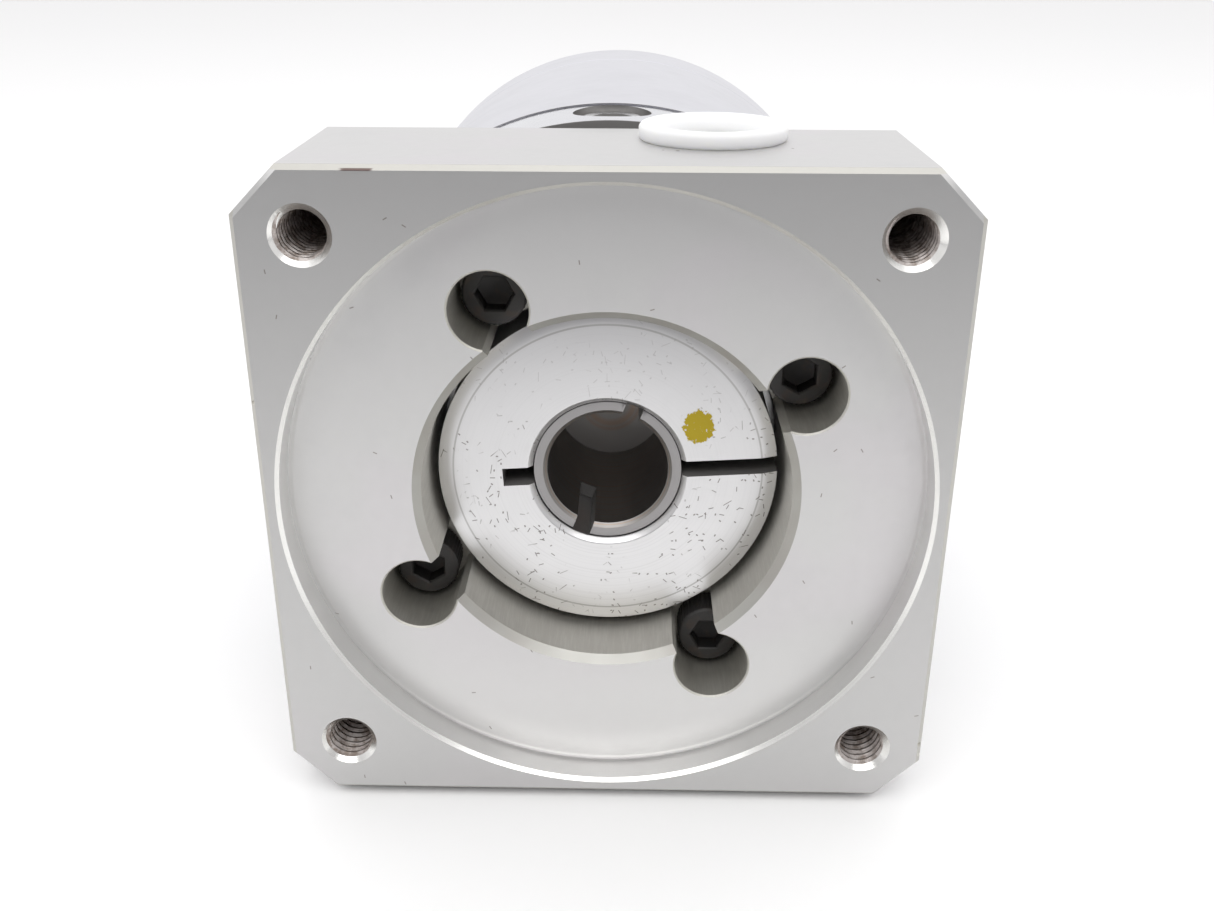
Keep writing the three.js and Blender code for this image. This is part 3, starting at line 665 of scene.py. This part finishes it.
def black_oxide():
    look = Finish("black_oxide_steel", (0.045, 0.043, 0.042), 0.4, 0.6)
    place = look.vector(*look.millimetres())
    look.tint(look.between(look.noise(place, 1.8, 4), 0.5, 0.7), (0.062, 0.048, 0.04), 0.7)
    look.rougher(look.noise(place, 0.5, 3), 0.2)
    look.raised(look.noise(place, 0.25, 3), 0.006)
    return look.done()


def polyethylene():
    under = {"Subsurface_Weight": 0.85, "Subsurface_Radius": (1, 1, 0.9), "Subsurface_Scale": 0.004}
    look = Finish("polyethylene", (0.95, 0.955, 0.93), 0.34, 0.0, IOR=1.4, **under)
    place = look.vector(*look.millimetres())
    look.rougher(look.noise(place, 1.2, 4), 0.15)
    look.raised(look.noise(place, 2.5, 3), 0.02)
    return look.done()


def rubber():
    look = Finish("rubber", (0.022, 0.022, 0.024), 0.6, 0.0)
    place = look.vector(*look.millimetres())
    look.rougher(look.noise(place, 0.8, 4), 0.2)
    look.raised(look.noise(place, 0.3, 3), 0.01)
    return look.done()


def bronze():
    look = Finish("bronze", (0.55, 0.36, 0.16), 0.35)
    place = look.vector(*look.millimetres())
    look.tint(look.between(look.noise(place, 2.5, 4), 0.45, 0.7), (0.35, 0.22, 0.10), 0.6)
    look.rougher(look.noise(place, 0.6, 3), 0.2)
    return look.done()


# Pieces -----------------------------------------------------------------------------------


def octagon(inset):
    """The adapter's outline in X and Z, drawn in by `inset` all round."""
    far = PLATE["half"] - inset
    near = PLATE["half"] - PLATE["corner"] - inset * math.tan(math.radians(22.5))
    return [
        (far, -near), (far, near), (near, far), (-near, far),
        (-far, near), (-far, -near), (-near, -far), (near, -far),
    ]


def ding(x, y, z, size):
    """A small rough lump that a knock takes out of an edge."""
    bumps = [1.0, 0.75, 1.15, 0.85, 1.05, 0.7, 0.95]
    rings = [[(0, -size, 0)]]
    for y_share, reach in ((-0.6, 0.7), (0, 1.0), (0.6, 0.6)):
        rings.append(wavy_ring(lambda a: size * reach * bumps[int(a) % 7], y_share * size, 9))
    rings.append([(0, size, 0)])
    return stacked(rings).at(x, y, z)


def motor_adapter(looks):
    edge = PLATE["edge"]
    loops = ((edge, 0), (0, edge), (0, ADAPTER_BACK - edge), (edge, ADAPTER_BACK))
    rings = [[(x, y, z) for x, z in octagon(inset)] for inset, y in loops]
    face, bored = looks["machined_aluminium"], looks["bored_aluminium"]
    plate = mesh_object("adapter_plate_machined", stacked(rings), face)
    depth, groove, radius, rim = (RECESS[key] for key in ("depth", "groove", "radius", "rim"))
    recess = turned([
        (0, -PAST),
        (radius + rim + PAST, -PAST),
        (radius + rim, 0),
        (radius, rim),
        (radius, depth + groove),
        (radius - 0.5, depth + groove),
        (radius - 1.0, depth),
        (0, depth),
    ])
    opening = turned([
        (0, depth - PAST),
        (OPENING["mouth"] + PAST, depth - PAST),
        (OPENING["mouth"], depth),
        (OPENING["radius"], depth + OPENING["depth"]),
        (OPENING["radius"], ADAPTER_BACK + PAST),
        (0, ADAPTER_BACK + PAST),
    ])
    seat_radius, seat, clearance, ease = (SCREW_SEAT[key] for key in ("radius", "depth", "clearance", "ease"))
    screw_seat = turned([
        (0, depth - PAST),
        (seat_radius + ease + PAST, depth - PAST),
        (seat_radius + ease, depth),
        (seat_radius, depth + ease),
        (seat_radius, seat),
        (clearance, seat),
        (clearance, ADAPTER_BACK + PAST),
        (0, ADAPTER_BACK + PAST),
    ], SMALL_ROUND)
    neck_half = 3.7
    neck_span = (OPENING["radius"] - 3, ADAPTER_SCREWS["at"])
    neck = block(neck_span, (depth - PAST, seat), (-neck_half, neck_half))
    cuts = [(recess, face), (opening, bored)]
    cuts += [(shape, bored) for shape in around(ADAPTER_SCREWS, screw_seat)]
    cuts += [(neck.swung(angle), bored) for angle in ADAPTER_SCREWS["angles"]]
    hole = tapped_hole(M8, MOTOR_HOLES["thread"], MOTOR_HOLES["drill"])
    sink = countersink(MOTOR_HOLES["sink"])
    offset = MOTOR_HOLES["offset"]
    for x in (-offset, offset):
        for z in (-offset, offset):
            cuts.append((sink.at(x, 0, z), looks["countersunk"]))
            cuts.append((hole.at(x, 0, z), looks["thread_wall"]))
    key_hole = bar(PLUG_HOLE, 20, PLATE["half"] + PAST).upright()
    cuts.append((key_hole.at(PLUG["x"], PLUG["y"], 0), bored))
    cuts += [(ding(*place_and_size), bored) for place_and_size in EDGE_DINGS]
    carved(plate, cuts)
    mouth = (OPENING["radius"] - 0.2, OPENING["mouth"] + 0.1)
    refinished(plate, looks["mouth_chamfer"], mouth, (depth, depth + OPENING["depth"]))
    # Painted highlight, partly the polish of the cut: the recess rim's chamfer takes the bright countersunk
    # finish.
    refinished(plate, looks["countersunk"], (radius, radius + rim), (0, rim))
    # Painted light: the recess wall takes a much brighter copy of the machined metal.
    refinished(plate, looks["recess_wall_painted_light"], (radius - 0.2, radius + 0.1), (rim, depth + groove))
    placed(plate, "housing", "machined_aluminium", "motor_adapter")


def access_plug(looks):
    rim, height, cup, wall, depth = (PLUG[key] for key in ("rim", "height", "cup", "wall", "depth"))
    section = [
        (0, -depth), (cup - 0.8, -depth), (cup, 0.8 - depth), (cup, 0),
        (rim, 0), (rim, height - 0.5), (rim - 0.5, height),
        (cup + 1.1, height - 0.05), (cup - 0.1, height - 0.7), (cup - wall + 0.1, height - 1.8),
        (cup - wall, -0.5), (cup - wall - 0.2, wall - depth), (0, wall - depth),
    ]
    shape = turned(eased(section, 0.5, 4)).upright().at(PLUG["x"], PLUG["y"], PLATE["half"])
    piece = mesh_object("access_plug_moulded", shape, looks["polyethylene"])
    placed(piece, "plug", "polyethylene", "access_plug")


def screw_piece(node, body, parts, look):
    screw, socket = parts
    piece = carved(mesh_object(node + "_knurled", screw, look), [(socket, look)])
    placed(piece, body, "black_oxide_steel", node)


def screws(looks):
    look = looks["black_oxide_steel"]
    adapter = cap_screw(*M6_SCREW, SCREW_SEAT["depth"], 43)
    housing = cap_screw(*M4_SCREW, 36.7, 63)
    output = [part.backwards() for part in cap_screw(*M5_SCREW, -137.5, -110)]
    for name, parts, ring in (
        ("adapter_screw", adapter, ADAPTER_SCREWS),
        ("input_housing_screw", housing, HOUSING_SCREWS),
        ("output_housing_screw", output, OUTPUT_SCREWS),
    ):
        for i, angle in enumerate(ring["angles"], 1):
            moved = [part.at(x=ring["at"]).swung(angle) for part in parts]
            screw_piece(f"{name}_{i}", "housing", moved, look)
    clamp = cap_screw(*M5_SCREW, CLAMP_SCREW["seat"], CLAMP_SCREW["end"])
    screw_piece("clamp_screw", "clamp", [on_collar(part) for part in clamp], look)


def on_collar(shape):
    """A shape along Y whose head is at its low end, stood in the collar with its head up."""
    flipped = shape.changed(Matrix.Rotation(math.pi, 4, "X")).upright()
    return flipped.at(PLUG["x"], CLAMP_Y, 0).swung(CLAMP_ANGLE)


def clamp_collar(looks):
    bore, mouth, radius = COLLAR["bore"], COLLAR["mouth"], COLLAR["radius"]
    band, front, back = COLLAR["band"], COLLAR["front"], COLLAR["back"]
    section = [
        (mouth, front),
        (band, front),
        (radius, front + 0.7),
        (radius, back - 0.4),
        (radius - 0.4, back),
        (bore, back),
        (bore, front + mouth - bore),
    ]
    look, dark = looks["collar_steel"], looks["slit_wall"]
    ring = mesh_object("clamp_collar_turned", turned(eased(section, 0.12)), look)
    span = (front - PAST, back + PAST)
    slit = block((0, radius + PAST), span, (-1.3, 1.3))
    relief = block((-16.4, 0), span, (-1.475, 1.475))
    seat, counterbore, thread = CLAMP_SCREW["seat"], 4.6, 2.6
    hole = turned([
        (0, -radius - PAST),
        (counterbore, -radius - PAST),
        (counterbore, seat),
        (thread, seat),
        (thread, CLAMP_SCREW["end"] + 4),
        (0, CLAMP_SCREW["end"] + 5.5),
    ], SMALL_ROUND)
    cuts = [(slit.swung(CLAMP_ANGLE), dark), (relief.swung(CLAMP_ANGLE), dark), (on_collar(hole), dark)]
    placed(carved(ring, cuts), "input", "collar_steel", "clamp_collar")


def input_shaft(looks):
    sleeve, shoulder, seat, groove, bore = 11.6, 16.2, 15, 14.2, 9.5
    front, back = 15.6, 55.5
    bearing_front, bearing_back = INPUT_BEARING
    section = [
        (0, front), (sleeve, front), (sleeve, 30), (shoulder, 30), (shoulder, bearing_front),
        (seat, bearing_front), (seat, bearing_back), (groove, bearing_back), (groove, CIRCLIP_END),
        (seat, CIRCLIP_END), (seat, back), (0, back),
    ]
    look = looks["sleeve_steel"]
    shaft = mesh_object("input_shaft_bored", turned(eased(section, 0.2)), look)
    motor_bore = turned([(0, 14), (bore + 2.3, 14), (bore, 16.2), (bore, 44.5), (0, 46)])
    sun_socket = turned([(0, 48.5), (8.1, 48.5), (8.1, 57), (0, 57)])
    slot = block((-14, 14), (14, 29), (-1.45, 1.45)).swung(68.5)
    cuts = [(motor_bore, looks["bore_steel"]), (slot, looks["slit_wall"]), (sun_socket, look)]
    placed(carved(shaft, cuts), "input", "collar_steel", "input_shaft")


def seal_groove(radius, start):
    """The corners of an O-ring's groove, cut into an outer surface from `start` along Y."""
    bottom, end = radius - 1.6, start + 2.2
    return [(radius, start), (bottom, start), (bottom, end), (radius, end)]


def input_housing(looks):
    pocket, spigot, chamber, mouth, clip_groove, lip = 23.6, 42.9, 36, 27.6, 25, 21.4
    waist, waist_end = BODY_RADIUS - JOINT["depth"], ADAPTER_BACK + 2.2
    outside, joint = BODY_RADIUS - JOINT["step"], RING_FRONT - JOINT["gap"]
    bearing_front, bearing_back = INPUT_BEARING
    section = [
        (pocket, 30), (mouth, 30), (mouth, ADAPTER_BACK), (waist, ADAPTER_BACK), (waist, waist_end),
        (outside, waist_end + 0.1), (outside, joint), (waist, joint), (waist, RING_FRONT),
        (spigot, RING_FRONT), *seal_groove(spigot, 52.6), (spigot, 56), (chamber, 56),
        (chamber, RING_FRONT), (pocket, RING_FRONT), (pocket, CIRCLIP_END), (clip_groove, CIRCLIP_END),
        (clip_groove, bearing_back), (pocket, bearing_back), (pocket, bearing_front),
        (lip, bearing_front), (lip, 37.1), (pocket, 37.1),
    ]
    look, bored = looks["polished_steel"], looks["bored_steel"]
    body = mesh_object("input_housing_polished", turned(eased(section, 0.15)), look)
    through = bar(3.1, 31, 49.6)
    clearance, head, head_seat = 2.3, 3.75, 36.8
    seat = turned([
        (0, 31),
        (head, 31),
        (head, head_seat),
        (clearance, head_seat),
        (clearance, RING_FRONT + PAST),
        (0, RING_FRONT + PAST),
    ], SMALL_ROUND)
    cuts = [(shape, bored) for shape in around(ADAPTER_SCREWS, through) + around(HOUSING_SCREWS, seat)]
    radius, tapped, floor_height, bottom, ease = (
        PORT[key] for key in ("radius", "tapped", "floor", "bottom", "ease")
    )
    port = turned([
        (0, bottom),
        (tapped, bottom),
        (tapped, floor_height),
        (radius, floor_height),
        (radius, BODY_RADIUS - ease),
        (radius + ease + PAST, BODY_RADIUS + PAST),
        (0, BODY_RADIUS + PAST),
    ], SMALL_ROUND)
    cuts.append((port.upright().at(0, PORT["y"], 0), looks["gear_steel"]))
    carved(body, cuts)
    # Painted shade: the groove behind the adapter gets the dark slit finish.
    painted_shade_radii, painted_shade_places = (waist - 0.1, BODY_RADIUS - 0.02), (ADAPTER_BACK + 0.1, waist_end + 0.2)
    refinished(body, looks["slit_wall"], painted_shade_radii, painted_shade_places)
    placed(body, "housing", "polished_steel", "input_housing")


def oil_port_plug(looks):
    look = looks["shaft_steel"]
    radius, ease = 5, 0.4
    low, top = PORT["bottom"] + 1, PORT["floor"] + 0.5
    section = [
        (0, low), (radius - ease, low), (radius, low + ease),
        (radius, top - ease), (radius - 0.5, top), (0, top),
    ]
    body = turned(section, SMALL_ROUND).upright().at(0, PORT["y"], 0)
    piece = mesh_object("oil_port_plug_turned", body, look)
    levels = ((1, top - 3.6), (1, top - 0.4), (1.2, top + 0.4))
    socket = stacked([[(x * k, y, z * k) for x, z in hexagon(5)] for k, y in levels])
    carved(piece, [(socket.upright().at(0, PORT["y"], 0), looks["slit_wall"])])
    placed(piece, "housing", "shaft_steel", "oil_port_plug")


def tooth_outline(teeth, module, phase, widen, root, tip):
    """An involute gear's outline, a tooth at `phase` degrees and `widen` added to each flank."""
    steps = 6
    pressure = math.radians(20)
    pitch_radius = module * teeth / 2
    base_radius = pitch_radius * math.cos(pressure)

    def involute(angle):
        return math.tan(angle) - angle

    def half_tooth(radius):
        local = math.acos(min(1, base_radius / radius))
        return math.pi / (2 * teeth) + involute(pressure) - involute(local) + widen / pitch_radius

    start = max(base_radius, root)
    radii = [start + (tip - start) * i / steps for i in range(steps + 1)]
    if start > root:
        radii.insert(0, root)
    points = []
    for tooth in range(teeth):
        middle = math.radians(phase + 360 / teeth * tooth)
        for side, row in ((-1, radii), (1, radii[::-1])):
            for radius in row:
                angle = middle + side * half_tooth(radius)
                points.append((radius * math.cos(angle), radius * math.sin(angle)))
    return points


def ring_gear_housing(looks):
    pitch_radius = GEAR_MODULE * RING_TEETH / 2
    tips, roots = pitch_radius - GEAR_MODULE, pitch_radius + 1.25 * GEAR_MODULE
    spigot, clear, socket, bearing, lip = 43, 42.8, 41.5, 34, 31
    section = [
        (BODY_RADIUS - 0.03, RING_FRONT), (BODY_RADIUS, RING_FRONT + 0.03),
        (BODY_RADIUS, RING_BACK - 0.4), (BODY_RADIUS - 0.4, RING_BACK), (socket, RING_BACK),
        (socket, 114.5), (lip, 114.5), (lip, 112.6), (bearing, 112.6), (bearing, 97.4),
        (clear, 97.4), (clear, 90), (tips, 90), (tips, 60), (clear, 60), (clear, 56.4),
        (spigot, 56.4), (spigot, RING_FRONT),
    ]
    look = looks["satin_steel"]
    body = mesh_object("ring_gear_housing_ground", turned(eased(section, 0.12)), look)
    teeth = drawn(tooth_outline(RING_TEETH, GEAR_MODULE, 90, 0.1, tips - 0.5, roots), 59, 91)
    front_holes = around(HOUSING_SCREWS, bar(2.1, RING_FRONT - PAST, 64))
    back_holes = around(OUTPUT_SCREWS, bar(2.6, 109, RING_BACK + PAST))
    cuts = [(teeth, looks["gear_steel"])]
    cuts += [(shape, look) for shape in front_holes + back_holes]
    carved(body, cuts)
    # Painted shade: the joint face at the ring housing's front gets the dark slit finish.
    painted_joint_shade_radii = (BODY_RADIUS - JOINT["depth"], BODY_RADIUS)
    refinished(body, looks["slit_wall"], painted_joint_shade_radii, (RING_FRONT - 0.1, RING_FRONT + 0.1))
    placed(body, "housing", "satin_steel", "ring_gear_housing")


def output_housing(looks):
    bearing, ring_seat, seal_seat, lip, spigot, pilot = 34, 30, 26.1, 24, 41.4, 40
    section = [
        (bearing, 116), (spigot, 116), *seal_groove(spigot, 118.6), (spigot, RING_BACK),
        (BODY_RADIUS - 0.4, RING_BACK), (BODY_RADIUS, RING_BACK + 0.4), (BODY_RADIUS, OUTPUT_FACE - 1),
        (BODY_RADIUS - 1, OUTPUT_FACE), (pilot + 0.3, OUTPUT_FACE), (pilot, OUTPUT_FACE + 0.4),
        (pilot, PILOT_END - 1), (pilot - 1, PILOT_END), (seal_seat + 0.5, PILOT_END),
        (seal_seat, PILOT_END - 0.5), (seal_seat, 141.3), (lip, 141.3), (lip, 134.8),
        (ring_seat, 134.8), (ring_seat, 133.1), (bearing, 133.1),
    ]
    look, bored = looks["satin_steel"], looks["bored_steel"]
    body = mesh_object("output_housing_turned", turned(eased(section, 0.12)), look)
    clearance, head, head_seat = 2.8, 4.6, 137.4
    seat = turned([
        (0, RING_BACK - PAST),
        (clearance, RING_BACK - PAST),
        (clearance, head_seat),
        (head, head_seat),
        (head, OUTPUT_FACE - 0.25),
        (head + 0.5 + PAST, OUTPUT_FACE + PAST),
        (0, OUTPUT_FACE + PAST),
    ], SMALL_ROUND)
    hole = tapped_hole(M8, 14, 16).backwards().at(y=OUTPUT_FACE)
    sink = countersink(4.4).backwards().at(y=OUTPUT_FACE)
    cuts = [(shape, bored) for shape in around(OUTPUT_SCREWS, seat)]
    cuts += [(shape, looks["countersunk"]) for shape in around(OUTPUT_HOLES, sink)]
    cuts += [(shape, looks["clean_thread"]) for shape in around(OUTPUT_HOLES, hole)]
    placed(carved(body, cuts), "housing", "satin_steel", "output_housing")


def output_seal(looks):
    outer_rim = [(26, 141.6), (26, 148.1), (25.6, 148.4), (23.4, 148.4), (22.6, 147.4), (20.9, 147.0)]
    dust_lip = [(19.2, 147.6), (18.3, 147.9), (18.25, 147.3), (19.4, 146.2), (19.6, 144.6)]
    oil_lip = [(18.7, 143.2), (18.3, 142.6), (18.9, 142.1), (20.4, 142.4)]
    hollow_back = [(21.8, 144.2), (23.8, 145.6), (24.4, 144.6), (24.4, 141.6)]
    section = outer_rim + dust_lip + oil_lip + hollow_back
    piece = mesh_object("output_seal_moulded", turned(eased(section, 0.25, 3)), looks["rubber"])
    placed(piece, "housing", "rubber", "output_seal")


def key_outline(half):
    arc = [math.pi * i / 16 for i in range(17)]
    low, high = KEY["front"] + KEY["half"], KEY["back"] - KEY["half"]
    return [(half * math.cos(a), high + half * math.sin(a)) for a in arc] + [
        (-half * math.cos(a), low - half * math.sin(a)) for a in arc
    ]


def key_shape(levels):
    """A key with round ends lying along Y: stacked outlines at each (half width, height)."""
    return stacked([[(x, y, z) for x, y in key_outline(half)] for half, z in levels])


def output_shaft(looks):
    inner, shoulder, seal_run, neck, radius = 16, 20, 18, 12.2, 12.5
    section = [
        (0, 91), (inner, 91), (inner, 97.1), (shoulder, 97.1), (shoulder, 133.2), (seal_run, 133.2),
        (seal_run, 149.5), (neck + 1, 149.5), (neck, 149.9), (neck, 151.6), (radius, 152),
        (radius, SHAFT_END - 1), (radius - 1, SHAFT_END), (0, SHAFT_END),
    ]
    look = looks["shaft_steel"]
    shaft = mesh_object("output_shaft_ground", turned(eased(section, 0.15)), look)
    half, top, ease = KEY["half"], KEY["top"], KEY["ease"]
    bottom = top - KEY["height"]
    keyway = key_shape([(half + 0.1, bottom - 0.1), (half + 0.1, radius + 0.5)])
    sink = countersink(5).backwards().at(y=SHAFT_END)
    centre = tapped_hole(M8, 15, 18).backwards().at(y=SHAFT_END)
    carved(shaft, [(keyway, look), (sink, look), (centre, looks["clean_thread"])])
    placed(shaft, "output", "shaft_steel", "output_shaft")
    levels = [(half - ease, bottom), (half, bottom + ease), (half, top - ease), (half - ease, top)]
    key = mesh_object("output_key_ground", key_shape(levels), looks["key_steel"])
    placed(key, "output", "shaft_steel", "output_key")


# Stage ------------------------------------------------------------------------------------


def camera():
    """Looks down at the motor face from in front of it and above the shafts' axis."""
    lens = bpy.data.cameras.new("camera")
    lens.sensor_width = 36
    lens.lens = 36.4
    lens.clip_start = 0.005
    made = bpy.data.objects.new("camera", lens)
    right = Vector((0.99978, 0.02076, 0.00284))
    up = Vector((-0.01093, 0.40107, 0.91598))
    turn = Matrix((right, up, right.cross(up))).transposed()
    place = ORIGIN + Vector((3.332, -159.821, 79.371)) * MM
    made.matrix_world = Matrix.Translation(place) @ turn.to_4x4()
    bpy.context.scene.collection.objects.link(made)
    bpy.context.scene.camera = made


def floor():
    """A white table top with painted shade that greys it off well in front of the motor face."""
    look = Finish("white_table", (0.97, 0.97, 0.965), 0.75, 0.0)
    split = look.node("ShaderNodeSeparateXYZ", {0: look.place}).outputs
    # Painted shade: the table greys off in front, where the open side of the tent lets less light fall.
    look.tint(look.between(split[1], -0.24, -0.5), (0.30, 0.30, 0.31))
    look.rougher(look.noise(look.place, 4 * MM), 0.1)
    far = 12
    corners = [(-far, -far, 0), (far, -far, 0), (far, far, 0), (-far, far, 0)]
    mesh = bpy.data.meshes.new("table_top")
    mesh.from_pydata(corners, [], [(0, 1, 2, 3)])
    mesh.materials.append(look.done())
    made = bpy.data.objects.new("table_top", mesh)
    bpy.context.scene.collection.objects.link(made)


def world():
    """A white tent that is open, and so darker, on the motor side."""
    tent = bpy.data.worlds.new("light_tent")
    tent.use_nodes = True
    nodes, links = tent.node_tree.nodes, tent.node_tree.links
    direction = nodes.new("ShaderNodeTexCoord").outputs["Generated"]
    split = nodes.new("ShaderNodeSeparateXYZ")
    links.new(direction, split.inputs[0])
    front = nodes.new("ShaderNodeMapRange")
    front.interpolation_type = "SMOOTHSTEP"
    links.new(split.outputs["Y"], front.inputs["Value"])
    for socket, value in (("From Min", -0.95), ("From Max", -0.1), ("To Min", 0.0), ("To Max", 1.0)):
        front.inputs[socket].default_value = value
    mix = nodes.new("ShaderNodeMix")
    mix.data_type = "RGBA"
    links.new(front.outputs["Result"], mix.inputs[MIX_FACTOR])
    mix.inputs[MIX_A].default_value = (0.24, 0.235, 0.24, 1)
    mix.inputs[MIX_B].default_value = (1.05, 1.045, 1.055, 1)
    links.new(mix.outputs[MIX_RESULT], nodes["Background"].inputs["Color"])
    nodes["Background"].inputs["Strength"].default_value = 1.0
    bpy.context.scene.world = tent


def soft_box(name, place, aim, size, power):
    """A rectangular lamp that faces its aim; places and size in metres, power in watts."""
    light = bpy.data.lights.new(name, "AREA")
    light.shape = "RECTANGLE"
    light.size, light.size_y = size
    light.energy = power
    made = bpy.data.objects.new(name, light)
    made.location = place
    made.rotation_euler = (Vector(aim) - Vector(place)).to_track_quat("-Z", "Y").to_euler()
    bpy.context.scene.collection.objects.link(made)


def main():
    bpy.context.scene.view_settings.view_transform = "Standard"
    camera()
    floor()
    world()
    soft_box("front_window", (0, -0.66, 0.80), (0, -0.1, 0.02), (1.1, 0.5), 3.3)
    soft_box("overhead", (0, 0.1, 1.2), (0, 0, 0), (1.4, 1.4), 2.9)
    finishes = [make() for make in FINISHES]
    finishes += [turned_steel(name, **values) for name, values in TURNED_STEELS.items()]
    looks = {finish.name: finish for finish in finishes}
    for make in PIECES:
        make(looks)


FINISHES = (
    machined_aluminium,
    bored_aluminium,
    thread_wall,
    polyethylene,
    black_oxide,
    collar_steel,
    bore_steel,
    mouth_chamfer,
    slit_wall,
    rubber,
    bronze,
)

TURNED_STEELS = {
    # The next finish is brighter than the metals it is cut into: partly the polish of the cut, partly painted
    # highlight on chamfers.
    "countersunk": {"colour": (0.86, 0.855, 0.83), "roughness": 0.2, "groove": 0.004},
    # The next finish is a much brighter copy of the adapter's aluminium: painted light on the recess wall.
    "recess_wall_painted_light": {"colour": (0.90, 0.895, 0.88), "roughness": 0.36, "groove": 0.003},
    "sleeve_steel": {"colour": (0.32, 0.31, 0.31), "roughness": 0.26},
    "bored_steel": {"colour": (0.50, 0.50, 0.50), "roughness": 0.2},
    "clean_thread": {"colour": (0.45, 0.44, 0.44), "roughness": 0.3},
    "key_steel": {"colour": (0.52, 0.52, 0.53), "roughness": 0.3},
    "gear_steel": {"colour": (0.42, 0.41, 0.40), "roughness": 0.35, "stain": 0.2},
    "bearing_steel": {"colour": (0.74, 0.74, 0.75), "roughness": 0.12},
    "cage_steel": {"colour": (0.62, 0.62, 0.62), "roughness": 0.3},
    "spring_steel": {"colour": (0.20, 0.20, 0.21), "roughness": 0.32},
    "polished_steel": {"colour": (0.53, 0.535, 0.565), "roughness": 0.10, "groove": 0.0008},
    "satin_steel": {"colour": (0.62, 0.62, 0.66), "roughness": 0.26, "groove": 0.0007},
    "shaft_steel": {"colour": (0.66, 0.66, 0.665), "roughness": 0.22, "groove": 0.002},
}

PIECES = (
    motor_adapter,
    access_plug,
    screws,
    clamp_collar,
    input_shaft,
    input_housing,
    oil_port_plug,
    ring_gear_housing,
    output_housing,
    output_seal,
    output_shaft,
)

main()
